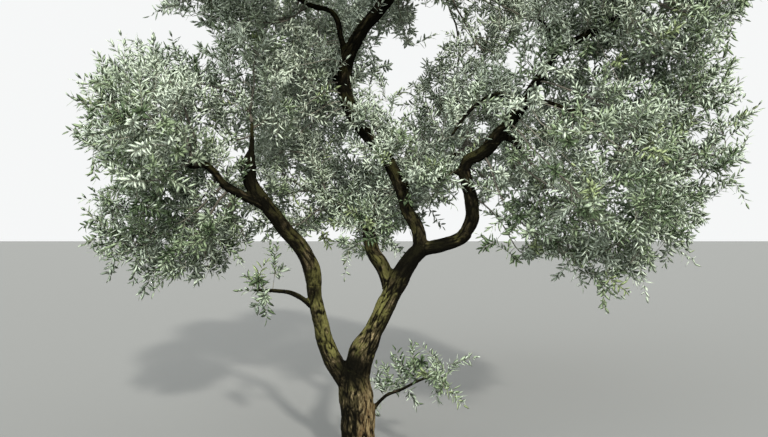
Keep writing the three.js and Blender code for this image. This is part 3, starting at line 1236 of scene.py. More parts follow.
@dataclass
class BarkedLimbs:
    """The trunk and the limbs as one skin, with swellings, ridges and plates of bark.

    Attributes:
        LEVELS: How many steps of weight a fork's smoothing has.
        CHUNK: How many points are compared with a middle line at once.
        limbs: The limbs read from the frame.
        voxel: The size that the joined tubes are remeshed at.
        spacing: The distance between points of a tube.
        cuts: The heights where the skin is parted into pieces.
        names: The pieces' names, lowest first.
        below_ground: How far the trunk's tube goes on below the ground before it is cut flat.
        sample, fork_sample: The distance between samples of the middle lines that the grain
            follows, and of those that forks are found by.
        run_start: How far apart the limbs' grains start, so that no two limbs' bark is alike.
        fork_margin: How far beyond its own box a limb is still compared, in metres.
        fork_reach: How far a fork reaches, in radii of the thinner limb.
        fork_rounds, skin_rounds: How often the forks, and the whole skin, are smoothed.
        root_reach, root_height: How far out and how high the root lobes reach.
        relief: The bark's relief.
        pieces: The finished pieces.
    """

    LEVELS: ClassVar[int] = 10
    CHUNK: ClassVar[int] = 20000

    limbs: list[Limb]
    voxel: float = 0.0065
    spacing: float = 0.02
    cuts: tuple[float, ...] = (1.5, 2.55)
    names: tuple[str, ...] = ("trunk_and_stems_bark", "lower_boughs_bark", "upper_boughs_bark")
    below_ground: float = 0.04
    sample: float = 0.01
    run_start: float = 1.7
    fork_sample: float = 0.03
    fork_margin: float = 0.1
    fork_reach: float = 0.75
    fork_rounds: int = 110
    skin_rounds: int = 5
    root_reach: float = 0.3
    root_height: float = 0.6
    relief: Relief = Relief()
    pieces: list[Object] = field(default_factory=list)

    def build(self) -> None:
        """Makes the skin and parts it into pieces."""
        skin = self._tubes()
        select_only(skin)
        remesh = skin.modifiers.new("one_skin", "REMESH")
        remesh.mode = "VOXEL"
        remesh.voxel_size = self.voxel
        bpy.ops.object.modifier_apply(modifier=remesh.name)
        weights, owners = self._fork_weights(point_array(skin.data))
        forks = skin.vertex_groups.new(name="forks")
        for level in range(1, self.LEVELS + 1):
            members = np.flatnonzero(np.ceil(weights * self.LEVELS) == level)
            forks.add(members.tolist(), level / self.LEVELS, "REPLACE")
        self._smooth(skin, rounds=self.fork_rounds, group=forks.name, fill_only=True)
        self._smooth(skin, rounds=self.skin_rounds)
        skin.vertex_groups.clear()
        self._carve(skin.data, owners)
        self._cut_at_ground(skin)
        self.pieces = self._parted(skin)

    def dress(self, material: Material) -> None:
        """Gives the pieces their finish, attaches them to the root and hides the limbs that they replace.

        Args:
            material: The bark.
        """
        for piece in self.pieces:
            piece.data.materials.clear()
            piece.data.materials.append(material)
            select_only(piece)
            bpy.ops.object.shade_smooth()
            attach(piece, "root")
            triangles = sum(len(polygon.vertices) - 2 for polygon in piece.data.polygons)
            log.info("%s: %d triangles", piece.name, triangles)
        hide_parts(*(limb.name for limb in self.limbs))

    def _tubes(self) -> Object:
        """Makes all limbs as round tubes.

        Returns:
            One mesh object.
        """
        curve = bpy.data.curves.new("limb_skin", "CURVE")
        curve.dimensions = "3D"
        curve.bevel_depth = 1.0
        curve.bevel_resolution = 8
        curve.use_fill_caps = True
        for limb in self.limbs:
            line, radii = limb.resampled(self.spacing)
            if limb.name == "trunk":
                line = np.vstack((line[0] - self.below_ground * UP, line))
                radii = np.concatenate((radii[:1], radii))
            spline = curve.splines.new("POLY")
            spline.points.add(len(line) - 1)
            for point, centre, radius in zip(spline.points, line, radii):
                point.co = (*centre, 1.0)
                point.radius = radius
        select_only(add_object("limb_skin", curve))
        bpy.ops.object.convert(target="MESH")
        return bpy.context.active_object

    def _fork_weights(self, points: np.ndarray) -> tuple[np.ndarray, np.ndarray]:
        """Finds where two limbs' surfaces meet.

        Args:
            points: The points of the skin.

        Returns:
            How much each point belongs to a fork, from 0 to 1, and the number of the limb that it
            lies on.
        """
        nearest = np.full(len(points), np.inf)
        owners = np.zeros(len(points), np.int64)
        second = nearest.copy()
        girth = np.zeros(len(points))
        other_girth = girth.copy()
        for number, limb in enumerate(self.limbs):
            line, radii = limb.resampled(self.fork_sample)
            margin = radii.max() + self.fork_margin
            low, high = line.min(axis=0) - margin, line.max(axis=0) + margin
            inside = np.flatnonzero(np.all((points > low) & (points < high), axis=1))
            if not len(inside):
                continue
            for some in np.array_split(inside, max(1, len(inside) // self.CHUNK)):
                gaps = np.linalg.norm(points[some][:, None, :] - line[None, :, :], axis=2) - radii
                best = gaps.argmin(axis=1)
                gap, thick = gaps[np.arange(len(some)), best], radii[best]
                nearer = gap < nearest[some]
                runner = np.where(nearer, nearest[some], gap)
                runner_girth = np.where(nearer, girth[some], thick)
                closer = runner < second[some]
                second[some] = np.where(closer, runner, second[some])
                other_girth[some] = np.where(closer, runner_girth, other_girth[some])
                nearest[some] = np.where(nearer, gap, nearest[some])
                owners[some[nearer]] = number
                girth[some] = np.where(nearer, thick, girth[some])
        reach = self.fork_reach * np.minimum(girth, other_girth) + 1e-4
        return np.clip(1.0 - np.maximum(second, 0.0) / reach, 0.0, 1.0), owners

    def _smooth(self, skin: Object, rounds: int, group: str = "", fill_only: bool = False) -> None:
        """Smooths the skin.

        Args:
            skin: The skin.
            rounds: How often it is smoothed.
            group: The vertex group that is smoothed, or all.
            fill_only: Whether points may only move outwards, so that hollows fill and ridges stay.
        """
        before = point_array(skin.data)
        normals = point_array(skin.data, "normal")
        smooth = skin.modifiers.new("smooth", "SMOOTH")
        smooth.factor = 0.5
        smooth.iterations = rounds
        smooth.vertex_group = group
        bpy.ops.object.modifier_apply(modifier=smooth.name)
        if fill_only:
            after = point_array(skin.data)
            outwards = np.einsum("ij,ij->i", after - before, normals) > 0.0
            settled = np.where(outwards[:, None], after, before)
            skin.data.vertices.foreach_set("co", settled.astype(np.float32).ravel())
            skin.data.update()

    def _lines(self) -> MiddleLines:
        """Samples the limbs' middle lines finely.

        Returns:
            The samples of all limbs, limb after limb.
        """
        points, radii, ways, sides, runs, numbers = [], [], [], [], [], []
        for number, limb in enumerate(self.limbs):
            line, radius = limb.resampled(self.sample)
            way = units(np.gradient(line, axis=0))
            side = np.array((1.0, 0.0, 0.0))
            for here in way:
                side = units(side - here * np.dot(side, here))
                sides.append(side)
            points.append(line)
            radii.append(radius)
            ways.append(way)
            runs.append(np.arange(len(line)) * self.sample + self.run_start * number)
            numbers.append(np.full(len(line), number))
        parts = (points, radii, ways, np.array(sides)[None], runs, numbers)
        return MiddleLines(*(np.concatenate(part) for part in parts))

    def _carve(self, mesh: bpy.types.Mesh, owners: np.ndarray) -> None:
        """Moves the skin's points into lumps, ridges and plates, and keeps the grain for the bark.

        Args:
            mesh: The skin.
            owners: The number of the limb that each of its points lies on.
        """
        lines = self._lines()
        points = point_array(mesh)
        normals = point_array(mesh, "normal")
        near = lines.nearest(points, owners)
        spoke = points - lines.points[near]
        way, side = lines.ways[near], lines.sides[near]
        run = lines.runs[near] + np.einsum("ij,ij->i", spoke, way)
        aside = np.einsum("ij,ij->i", spoke, side)
        turn = np.arctan2(np.einsum("ij,ij->i", spoke, np.cross(way, side)), aside)
        radius = lines.radii[near]
        grain = np.stack((radius * np.cos(turn), radius * np.sin(turn), run), axis=1)
        grain = grain * (1.0, 1.0, self.relief.stretch)
        swellings, ridges = self.relief.heights(grain, points, turn, run)
        shift = self.relief.shift(radius, swellings, ridges) + self._root_lobes(points)
        points += normals * shift[:, None]
        mesh.vertices.foreach_set("co", points.astype(np.float32).ravel())
        along = mesh.attributes.new("grain", "FLOAT_VECTOR", "POINT").data
        along.foreach_set("vector", grain.astype(np.float32).ravel())
        raised = mesh.attributes.new("relief", "FLOAT", "POINT").data
        raised.foreach_set("value", ridges.astype(np.float32))
        mesh.update()

    def _root_lobes(self, points: np.ndarray) -> np.ndarray:
        """How far each point stands out where the main roots leave the trunk.

        Args:
            points: The points of the skin.

        Returns:
            A distance for each point, 0 away from the trunk's foot.
        """
        trunk = next(limb for limb in self.limbs if limb.name == "trunk")
        depth = np.interp(points[:, 2], trunk.centres[:, 2], trunk.lobes[:, 0])
        turn = np.arctan2(points[:, 1], points[:, 0])
        lobes = depth * np.cos(ROOT_LOBES * turn + trunk.lobes[0, 1])
        near = np.hypot(points[:, 0], points[:, 1]) < self.root_reach
        return np.where(near & (points[:, 2] < self.root_height), lobes, 0.0)

    def _cut_at_ground(self, skin: Object) -> None:
        """Cuts the skin flat at ground level.

        Args:
            skin: The skin.
        """
        select_only(skin)
        bpy.ops.object.mode_set(mode="EDIT")
        self._bisect(0.0, below=True)
        bpy.ops.object.mode_set(mode="OBJECT")

    def _parted(self, skin: Object) -> list[Object]:
        """Parts the skin at the cuts.

        Args:
            skin: The skin, which is removed.

        Returns:
            The pieces, lowest first.
        """
        pieces = []
        for number, name in enumerate(self.names):
            piece = add_object(name, skin.data.copy())
            piece.data.name = name
            select_only(piece)
            bpy.ops.object.mode_set(mode="EDIT")
            if number > 0:
                self._bisect(self.cuts[number - 1], below=True)
            if number < len(self.cuts):
                self._bisect(self.cuts[number], below=False)
            bpy.ops.object.mode_set(mode="OBJECT")
            pieces.append(piece)
        bpy.data.objects.remove(skin)
        return pieces

    def _bisect(self, height: float, below: bool) -> None:
        """Cuts the mesh in edit mode level at a height and drops what lies below or above."""
        bpy.ops.mesh.select_all(action="SELECT")
        plane = {"plane_co": (0, 0, height), "plane_no": (0, 0, 1)}
        bpy.ops.mesh.bisect(**plane, use_fill=True, clear_inner=below, clear_outer=not below)


# Growth


@dataclass
class Mass:
    """A mass of foliage read from the frame.

    Attributes:
        name: The node's name.
        surface: Its closed surface.
        low: The low corner of its box.
        high: The high corner.
        fullness: How thickly it is leaved, 1 for most.
    """

    name: str
    surface: BVHTree
    low: np.ndarray
    high: np.ndarray
    fullness: float

    def depth_of(self, point: np.ndarray) -> float:
        """Measures how deep a point lies inside.

        Args:
            point: The point.

        Returns:
            The depth, or a negative distance outside.
        """
        near, normal, _, distance = self.surface.find_nearest(point)
        inside = (Vector(point) - near).dot(normal) < 0
        return distance if inside else -distance


FULLNESS = {
    "right_back_mass": 0.5,
    "centre_back_mass": 0.9,
    "right_skirt_mass": 1.2,
    "right_outer_mass": 1.1,
    "left_skirt_mass": 1.2,
    "front_top_mass": 0.62,
    "front_left_mass": 0.62,
    "front_right_mass": 0.62,
}


def read_masses() -> list[Mass]:
    """Reads the masses of foliage from the frame.

    Returns:
        The masses, by name.
    """
    masses = []
    for name in sorted(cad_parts):
        if not name.endswith("_mass"):
            continue
        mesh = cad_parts[name].data
        surface = BVHTree.FromPolygons(point_array(mesh).tolist(), corner_array(mesh).tolist())
        low, high = (np.array(corner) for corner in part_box(name))
        masses.append(Mass(name, surface, low, high, FULLNESS.get(name, 1.0)))
    return masses


@dataclass(frozen=True)
class Sprigs:
    """Leafy shoots straight from a limb, apart from the masses.

    Attributes:
        limb: The limb's name.
        count: How many shoots.
        start: The part of the limb's length where they begin.
        end: The part where they end.
        reach: How far from the limb they may stand, in metres.
        forward: How much they lean to the tree's front.
    """

    limb: str
    count: int
    start: float
    end: float = 1.0
    reach: float = 0.17
    forward: float = 0.0

    def covers(self, limb: Limb, fraction: float) -> bool:
        """Whether these shoots stand on a limb at a part of its length."""
        return self.limb == limb.name and self.start <= fraction <= self.end


@dataclass(frozen=True)
class Opening:
    """A place where the sky shows through the crown from where the photograph was taken.

    Attributes:
        x: Where the sight line crosses the plane of the trunk, to the right, in metres.
        z: Its height there.
        radius: How wide the opening is there.
    """

    x: float
    z: float
    radius: float

    def holds(self, point: np.ndarray) -> bool:
        """Whether a point lies in this opening.

        Args:
            point: The point.

        Returns:
            True where the sight line to the point crosses the plane of the trunk inside the opening.
        """
        eye = np.array(Viewpoint.place)
        share = eye[1] / (eye[1] - point[1])
        crossing = eye + share * (point - eye)
        return math.hypot(crossing[0] - self.x, crossing[2] - self.z) < self.radius


OPENINGS = (
    Opening(0.58, 3.42, 0.20),
    Opening(0.88, 3.50, 0.12),
    Opening(0.42, 3.60, 0.08),
    Opening(-1.20, 3.55, 0.08),
    Opening(-0.82, 3.03, 0.07),
    Opening(-0.20, 2.87, 0.05),
    Opening(0.38, 2.52, 0.07),
    Opening(0.90, 2.66, 0.07),
    Opening(1.00, 2.42, 0.07),
    Opening(0.98, 1.94, 0.11),
    Opening(1.31, 2.52, 0.06),
    Opening(1.46, 2.08, 0.07),
    Opening(1.76, 2.47, 0.10),
    Opening(1.92, 2.08, 0.14),
    Opening(2.56, 2.74, 0.10),
    Opening(1.60, 3.58, 0.09),
    Opening(2.20, 3.60, 0.10),
    Opening(-0.45, 2.32, 0.07),
    Opening(-1.17, 2.66, 0.06),
    Opening(-1.10, 2.48, 0.05),
    Opening(-1.42, 2.12, 0.07),
    Opening(-1.36, 2.72, 0.05),
    Opening(-0.55, 3.30, 0.06),
)


SPRIGS = (
    Sprigs("low_right_shoot", 34, 0.4, 1.0, 0.2),
    Sprigs("low_left_branch", 12, 0.7, 1.0, 0.2),
    Sprigs("arched_branch", 34, 0.25),
    Sprigs("cross_branch", 26, 0.4),
    Sprigs("right_fork_shoot", 14, 0.4),
    Sprigs("leader", 60, 0.24, 0.38, 0.30),
    Sprigs("leader", 34, 0.55, 0.75, 0.26, -1.4),
    Sprigs("leader", 70, 0.78, 0.97, 0.55),
    Sprigs("top_right_limb", 24, 0.0, 0.5, 0.35),
    Sprigs("leader", 64, 0.40, 0.66, 0.55, -1.4),
    Sprigs("right_upper_limb", 80, 0.22, 0.95, 0.28, 0.7),
    Sprigs("right_upper_limb", 60, 0.45, 0.85, 0.42),
    Sprigs("centre_bough", 46, 0.45, 1.0, 0.28, 0.5),
    Sprigs("rear_limb", 30, 0.0, 0.6, 0.25),
    Sprigs("left_side_limb", 26, 0.5, 1.0, 0.24, 0.1),
    Sprigs("right_back_limb", 30, 0.0, 0.6, 0.24, 0.5),
    Sprigs("back_left_limb", 26, 0.0, 0.6, 0.22, 0.4),
)


@dataclass
class Growth:
    """Branches that grow from the limbs towards places in the masses, each place becoming one shoot.

    Attributes:
        limbs: The limbs that carry the growth.
        masses: The masses to fill.
        sprigs: The shoots that stand on limbs apart from the masses.
        openings: Where the crown stays open.
        per_cubic_metre: How many shoots a full mass holds in each cubic metre, before clumping.
        core, rind, rind_depth: The share of its places that the heart of a mass keeps, how much
            more its surface keeps, and how deep that goes, in metres.
        clumping, clump_scales: How much the shoots stand in clumps, and how fine the large clumps
            and the small ones are.
        step: The length of one piece of growth.
        reach: How near a branch comes before it counts as there.
        rounds: The most steps of growth.
        patience: How many steps a place waits for growth to come nearer.
        straightness, wobble, lift: How much a step keeps the last one's direction, turns by chance
            and turns upwards.
        shoot_reach: How far from the growth a place may lie and still get its shoot.
        start_spacing: The distance between points of a limb that growth may leave from.
        near: How far outside a mass such a point may lie, in metres.
        tip: The part of a limb's length from which on it always carries growth.
        seed: The seed of all chance.
        bare: The limbs that carry no growth.
        short, short_reach: The limbs whose growth stays near them, and how far it goes, in metres.
        twig, thickest: The radius of a twig that carries one shoot, and the largest radius.
        power: How a branch's girth grows with what it carries.
        eased: How often kinks are eased.
        points: The points of the growth, starts first.
        parents: The number of the point that each grew from.
        radii: The radius at each.
        load: How many shoots each carries.
        heirs: For each point, the thickest one that grew from it.
        shoots_at: The point that each shoot stands on.
        shoots_to: The place that it grows towards.
        seeds: How many of the points are starts on limbs.
    """

    limbs: list[Limb]
    masses: list[Mass]
    sprigs: tuple[Sprigs, ...] = SPRIGS
    openings: tuple[Opening, ...] = OPENINGS
    per_cubic_metre: float = 560.0 * 1.35
    core: float = 0.45
    rind: float = 0.55
    rind_depth: float = 0.16
    clumping: float = 0.75
    clump_scales: Span = (3.1, 7.0)
    step: float = 0.06
    reach: float = 0.085
    rounds: int = 90
    patience: int = 3
    straightness: float = 0.32
    wobble: float = 0.22
    lift: float = 0.05
    shoot_reach: float = 0.3
    start_spacing: float = 0.05
    near: float = 0.09
    tip: float = 0.9
    seed: int = 7
    bare: tuple[str, ...] = ("trunk", "right_stem", "left_bough", "u_limb_lower", "u_limb_upper")
    short: tuple[str, ...] = ("low_right_shoot", "low_left_branch")
    short_reach: float = 0.3
    twig: float = 0.0017
    power: float = 2.25
    thickest: float = 0.024
    eased: int = 2
    points: np.ndarray = field(init=False)
    parents: np.ndarray = field(init=False)
    radii: np.ndarray = field(init=False)
    load: np.ndarray = field(init=False)
    heirs: dict[int, int] = field(init=False)
    shoots_at: np.ndarray = field(init=False)
    shoots_to: np.ndarray = field(init=False)
    seeds: int = field(init=False)

    def grow(self) -> None:
        """Runs the growth and works out how thick each branch is."""
        rng = np.random.default_rng(self.seed)
        starts, ways, limits = self._starts()
        places = self._places(rng)
        log.info("%d places to reach from %d starts", len(places), len(starts))
        self._colonise(rng, starts, ways, limits, places)
        self._thicken()
        self._ease()

    def chains(self) -> list[np.ndarray]:
        """Follows the growth from fork to end.

        Returns:
            Runs of point numbers, each from where it forks off.
        """
        runs = []
        for number in range(self.seeds, len(self.points)):
            parent = int(self.parents[number])
            if self.load[number] <= 0 or (parent >= self.seeds and self.heirs.get(parent) == number):
                continue
            run = [parent, number]
            while run[-1] in self.heirs and self.load[self.heirs[run[-1]]] > 0:
                run.append(self.heirs[run[-1]])
            runs.append(np.array(run))
        return runs

    def _starts(self) -> tuple[np.ndarray, np.ndarray, np.ndarray]:
        """Finds the points on the limbs, in or near a mass, that growth may leave from.

        Returns:
            The points, the limb's direction at each, and how far a place may lie from growth that
            leaves it.
        """
        points, ways, limits = [], [], []
        for limb in self.limbs:
            if limb.name in self.bare:
                continue
            line, _ = limb.resampled(self.start_spacing)
            way = units(np.gradient(line, axis=0))
            for number, (point, here) in enumerate(zip(line, way)):
                part = number / (len(line) - 1)
                near = max(mass.depth_of(point) for mass in self.masses) > -self.near
                if near or part > self.tip or any(sprig.covers(limb, part) for sprig in self.sprigs):
                    points.append(point)
                    ways.append(here)
                    limits.append(self.short_reach if limb.name in self.short else math.inf)
        return np.array(points), np.array(ways), np.array(limits)

    def _places(self, rng: np.random.Generator) -> np.ndarray:
        """Deals the places for shoots.

        Args:
            rng: Deals them.

        Returns:
            The places, clumped through the masses, thicker near their surfaces, and round the
            limbs with sprigs.
        """
        places = []
        large, small = self.clump_scales
        for mass in self.masses:
            box = mass.high - mass.low
            count = int(np.prod(box) * self.per_cubic_metre * mass.fullness)
            for point in mass.low + rng.random((count, 3)) * box:
                depth = mass.depth_of(point)
                if depth < 0.0 or any(opening.holds(point) for opening in self.openings):
                    continue
                clump = noise.noise(Vector(point) * large) + 0.5 * noise.noise(Vector(point) * small)
                keep = self.core + self.rind * math.exp(-depth / self.rind_depth) + self.clumping * clump
                if rng.random() < keep:
                    places.append(point)
        for sprig in self.sprigs:
            limb = next(limb for limb in self.limbs if limb.name == sprig.limb)
            line, _ = limb.resampled(0.02)
            for _ in range(sprig.count):
                base = line[rng.integers(int(sprig.start * len(line)), int(sprig.end * len(line)))]
                away = units(rng.normal(size=3) + 0.4 * UP + sprig.forward * FRONT)
                places.append(base + away * rng.uniform(0.05, sprig.reach))
        return np.array(places)

    def _colonise(
        self,
        rng: np.random.Generator,
        starts: np.ndarray,
        ways: np.ndarray,
        limits: np.ndarray,
        places: np.ndarray,
    ) -> None:
        """Grows from the starts, step by step, towards the places nearest to each growing point.

        Args:
            rng: Turns each step a little.
            starts: Where growth may leave the limbs.
            ways: The limb's direction at each start.
            limits: How far a place may lie from what grows from each start.
            places: The places to reach.
        """
        points, directions = [starts], [ways]
        parents = [np.full(len(starts), -1)]
        total = len(starts)
        gaps = np.full(len(places), np.inf)
        nearest = np.zeros(len(places), np.int64)
        waits = np.zeros(len(places), np.int64)
        alive = np.ones(len(places), bool)
        fresh, first = starts, 0
        everything, every_way, every_limit = starts, ways, limits
        for _ in range(self.rounds):
            open_places = np.flatnonzero(alive)
            if not len(open_places):
                break
            spans = np.linalg.norm(places[open_places][:, None, :] - fresh[None, :, :], axis=2)
            spans = np.where(spans > every_limit[first:][None, :], np.inf, spans)
            best = spans.argmin(axis=1)
            closest = spans[np.arange(len(open_places)), best]
            closer = closest < gaps[open_places] - 1e-6
            gaps[open_places[closer]] = closest[closer]
            nearest[open_places[closer]] = best[closer] + first
            waits[open_places[closer]] = 0
            waits[open_places[~closer]] += 1
            reached = gaps[open_places] < self.reach
            alive[open_places[reached | (waits[open_places] > self.patience)]] = False
            open_places = np.flatnonzero(alive)
            if not len(open_places):
                break
            growing, owner = np.unique(nearest[open_places], return_inverse=True)
            pull = np.zeros((len(growing), 3))
            ahead = units(places[open_places] - everything[nearest[open_places]])
            np.add.at(pull, owner.reshape(-1), ahead)
            turned = self.wobble * rng.normal(size=pull.shape)
            way = units(units(pull) + self.straightness * every_way[growing] + turned + self.lift * UP)
            fresh, first = everything[growing] + self.step * way, total
            points.append(fresh)
            directions.append(way)
            parents.append(growing)
            total += len(fresh)
            everything, every_way = np.vstack(points), np.vstack(directions)
            every_limit = np.concatenate((every_limit, every_limit[growing]))
        self.points, self.parents, self.seeds = everything, np.concatenate(parents), len(starts)
        close = gaps < self.shoot_reach
        self.shoots_at, self.shoots_to = nearest[close], places[close]

    def _thicken(self) -> None:
        """Gives each point the radius that carries what grows beyond it, and finds its heir."""
        load = np.zeros(len(self.points))
        np.add.at(load, self.shoots_at, 1.0)
        for number in range(len(self.points) - 1, self.seeds - 1, -1):
            load[self.parents[number]] += load[number]
        self.load = load
        self.radii = np.minimum(self.twig * np.maximum(load, 0.5) ** (1.0 / self.power), self.thickest)
        self.heirs = {}
        for number in range(self.seeds, len(self.points)):
            parent = int(self.parents[number])
            if parent not in self.heirs or load[number] > load[self.heirs[parent]]:
                self.heirs[parent] = number

    def _ease(self) -> None:
        """Eases the kinks: each point moves towards the middle of the ones before and after it."""
        for _ in range(self.eased):
            moved = self.points.copy()
            for number, heir in self.heirs.items():
                if number >= self.seeds:
                    around = self.points[self.parents[number]] + self.points[heir]
                    moved[number] = 0.5 * self.points[number] + 0.25 * around
            self.points = moved


def ring_frames(line: np.ndarray) -> tuple[np.ndarray, np.ndarray]:
    """Finds two sideways vectors at each point of a line.

    Args:
        line: The line's points.

    Returns:
        The first and the second vector at each point, square to the line and to each other.
    """
    way = units(np.gradient(line, axis=0))
    helper = np.where(np.abs(way[:, 2:3]) > 0.9, np.array((1.0, 0.0, 0.0)), UP)
    side = units(np.cross(way, helper))
    return side, np.cross(way, side)


def tube_triangles(rings: int, sides: int) -> np.ndarray:
    """The triangles of a closed tube whose points run ring by ring.

    Args:
        rings: How many rings it has.
        sides: How many points a ring has.

    Returns:
        Three point numbers in each row, facing outwards.
    """
    here = np.arange(sides)
    after = (here + 1) % sides
    base = (np.arange(rings - 1) * sides)[:, None]
    a, b = base + here, base + after
    c, d = a + sides, b + sides
    walls = np.concatenate((np.stack((a, b, d), -1).reshape(-1, 3), np.stack((a, d, c), -1).reshape(-1, 3)))
    fan = np.stack((np.zeros(sides - 2, int), here[1:-1], here[2:]), -1)
    last = (rings - 1) * sides
    return np.concatenate((walls, fan[:, ::-1], fan + last))


@dataclass
class BranchWood:
    """The branches inside the masses as tubes, the thick ones apart from the twigs.

    Attributes:
        growth: The growth that the tubes follow.
        stout: The radius from which on a branch has seven sides.
        thick: The radius from which on it is a branch with five sides, and below it a twig with three.
        pieces: The finished pieces, by name.
    """

    growth: Growth
    stout: float = 0.011
    thick: float = 0.006
    pieces: dict[str, Object] = field(default_factory=dict)

    def build(self) -> None:
        """Makes one mesh of the thick branches and one of the twigs."""
        wood: dict[str, list[Tube]] = {"branch_wood": [], "twig_wood": []}
        for run in self.growth.chains():
            line, radii = self.growth.points[run], self.growth.radii[run].copy()
            radii[0] = radii[1]
            name = "branch_wood" if radii[0] > self.thick else "twig_wood"
            wood[name].append((line, radii, self._sides(radii[0])))
        for name, tubes in wood.items():
            self.pieces[name] = self._joined(name, tubes)

    def dress(self) -> None:
        """Gives each piece its finish."""
        materials = {"branch_wood": YoungWood.BRANCH.value, "twig_wood": YoungWood.TWIG.value}
        for name, piece in self.pieces.items():
            piece.data.materials.append(materials[name].material())
            select_only(piece)
            bpy.ops.object.shade_smooth()
            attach(piece, "root")
            log.info("%s: %d triangles", name, len(piece.data.polygons))

    def _sides(self, radius: float) -> int:
        """How many sides a tube of a radius has."""
        return 7 if radius > self.stout else 5 if radius > self.thick else 3

    def _joined(self, name: str, tubes: list[Tube]) -> Object:
        """Joins tubes into one mesh.

        Args:
            name: The piece's name.
            tubes: The middle line, the radii and the number of sides of each tube.

        Returns:
            The piece.
        """
        points, triangles, first = [], [], 0
        for line, radii, sides in tubes:
            side, other = ring_frames(line)
            turn = np.arange(sides) * (2 * math.pi / sides)
            ring = np.cos(turn)[None, :, None] * side[:, None, :]
            ring = ring + np.sin(turn)[None, :, None] * other[:, None, :]
            shell = line[:, None, :] + ring * radii[:, None, None]
            points.append(shell.reshape(-1, 3))
            triangles.append(tube_triangles(len(line), sides) + first)
            first += len(line) * sides
        return mesh_from_arrays(name, np.vstack(points), np.vstack(triangles))


# Leaves


@dataclass(frozen=True)
class LeafHabit:
    """A leaf's sizes, how it stands on its shoot, and how much leaves differ.

    Attributes:
        length, width: The size of a full-grown leaf.
        crown: How far its middle stands proud of its edge.
        lengths, widths, curls: The least and the most length, width and curl, as shares.
        scatter: How far leaves stand from their proper place, as a share of the shoot.
        spread, spread_range: The angle between a leaf and its shoot, in degrees, and its range.
        tip_spread: The angle of the last leaf.
        roll, sway: How much leaves turn round the shoot by chance, in radians, and how much
            their direction differs.
        skyward, tilt: How much their upper side turns to the sky, and how much that differs.
    """

    length: float = 0.066
    width: float = 0.0195
    crown: float = 0.0011
    lengths: Span = (0.8, 1.18)
    widths: Span = (0.85, 1.15)
    curls: Span = (-0.02, 0.2)
    scatter: float = 0.012
    spread: float = 52.0
    spread_range: float = 13.0
    tip_spread: float = 12.0
    roll: float = 0.3
    sway: float = 0.1
    skyward: float = 0.55
    tilt: float = 0.3


@dataclass(frozen=True)
class ToneRule:
    """Where in the crown each tone of leaf lies: pale in the middle as painted light, dark low down and at
    both sides as painted shade.

    Attributes:
        shares: How much of each tone there is where nothing changes it.
        fade: How wide most changes are, in metres.
        pale_reach: How far from the trunk's middle the pale part of painted light ends, to the left and the
            right.
        pale_from, pale_rise: The height where it begins, and how much higher it is full.
        dull_left, dull_right: How far right the dull sides of painted shade begin.
        dull_right_fade, dull_right_most: How wide the right one's change is, and how dull it gets.
        dull_below, low_below: The heights where the dull sides and the dull low part, both painted shade,
            begin.
        silver: The share of silver outside the pale part, and its gain in it.
        silver_loss, grey_loss, dark_gain: What the dull parts lose and gain.
        dark_loss: How much dark the pale part loses.
    """

    shares: tuple[tuple[LeafTone, float], ...] = (
        (LeafTone.GREY, 0.30),
        (LeafTone.MID, 0.34),
        (LeafTone.DARK, 0.18),
        (LeafTone.SILVER, 0.13),
        (LeafTone.YOUNG, 0.05),
    )
    fade: float = 0.4
    pale_reach: float = 2.2
    pale_from: float = 2.1
    pale_rise: float = 0.7
    dull_left: float = -1.1
    dull_right: float = 1.7
    dull_right_fade: float = 0.6
    dull_right_most: float = 0.8
    dull_below: float = 3.1
    low_below: float = 1.8
    silver: Span = (0.25, 14.0)
    silver_loss: float = 0.9
    grey_loss: float = 0.5
    dark_gain: float = 1.0
    dark_loss: float = 0.8

    def dealt(self, rng: np.random.Generator, start: np.ndarray) -> np.ndarray:
        """Deals each shoot its tone.

        Args:
            rng: Deals the tones.
            start: Where each shoot begins.

        Returns:
            A number from the list of tones for each shoot.
        """
        x, z = start[:, 0], start[:, 2]
        # Painted light: the crown's upper middle gets paler tones.
        pale = np.clip(1.0 - np.abs(x) / self.pale_reach, 0.0, 1.0)
        pale *= np.clip((z - self.pale_from) / self.pale_rise, 0.0, 1.0)
        # Painted shade: the crown's sides and its low part get darker tones.
        dull = np.clip((self.dull_left - x) / self.fade, 0.0, 1.0)
        right = np.clip((x - self.dull_right) / self.dull_right_fade, 0.0, self.dull_right_most)
        dull = np.maximum(dull, right) * np.clip((self.dull_below - z) / self.fade, 0.0, 1.0)
        dull = np.maximum(dull, np.clip((self.low_below - z) / self.fade, 0.0, 1.0))
        tones = [tone for tone, _ in self.shares]
        weights = np.tile([share for _, share in self.shares], (len(start), 1))
        least, gain = self.silver
        weights[:, tones.index(LeafTone.SILVER)] *= (least + gain * pale) * (1.0 - self.silver_loss * dull)
        weights[:, tones.index(LeafTone.GREY)] *= 1.0 - self.grey_loss * dull
        weights[:, tones.index(LeafTone.DARK)] *= 1.0 + self.dark_gain * dull - self.dark_loss * pale
        totals = np.cumsum(weights, axis=1)
        return (rng.random(len(start))[:, None] * totals[:, -1:] > totals).sum(axis=1)


@dataclass
class Shoots:
    """The stems of all leafy shoots, each a line that bends a little.

    Attributes:
        start: Where each begins.
        way: The direction in which each sets off.
        bend: How much and which way each bends.
        length: How long each is.
    """

    start: np.ndarray
    way: np.ndarray
    bend: np.ndarray
    length: np.ndarray

    def at(self, part: np.ndarray) -> np.ndarray:
        """Finds points along the shoots.

        Args:
            part: For each shoot a row of parts of its length, from 0 to 1.

        Returns:
            For each shoot a row of points.
        """
        run = part[..., None] * self.length[:, None, None]
        lean = self.way[:, None, :] + 0.5 * part[..., None] * self.bend[:, None, :]
        return self.start[:, None, :] + run * lean


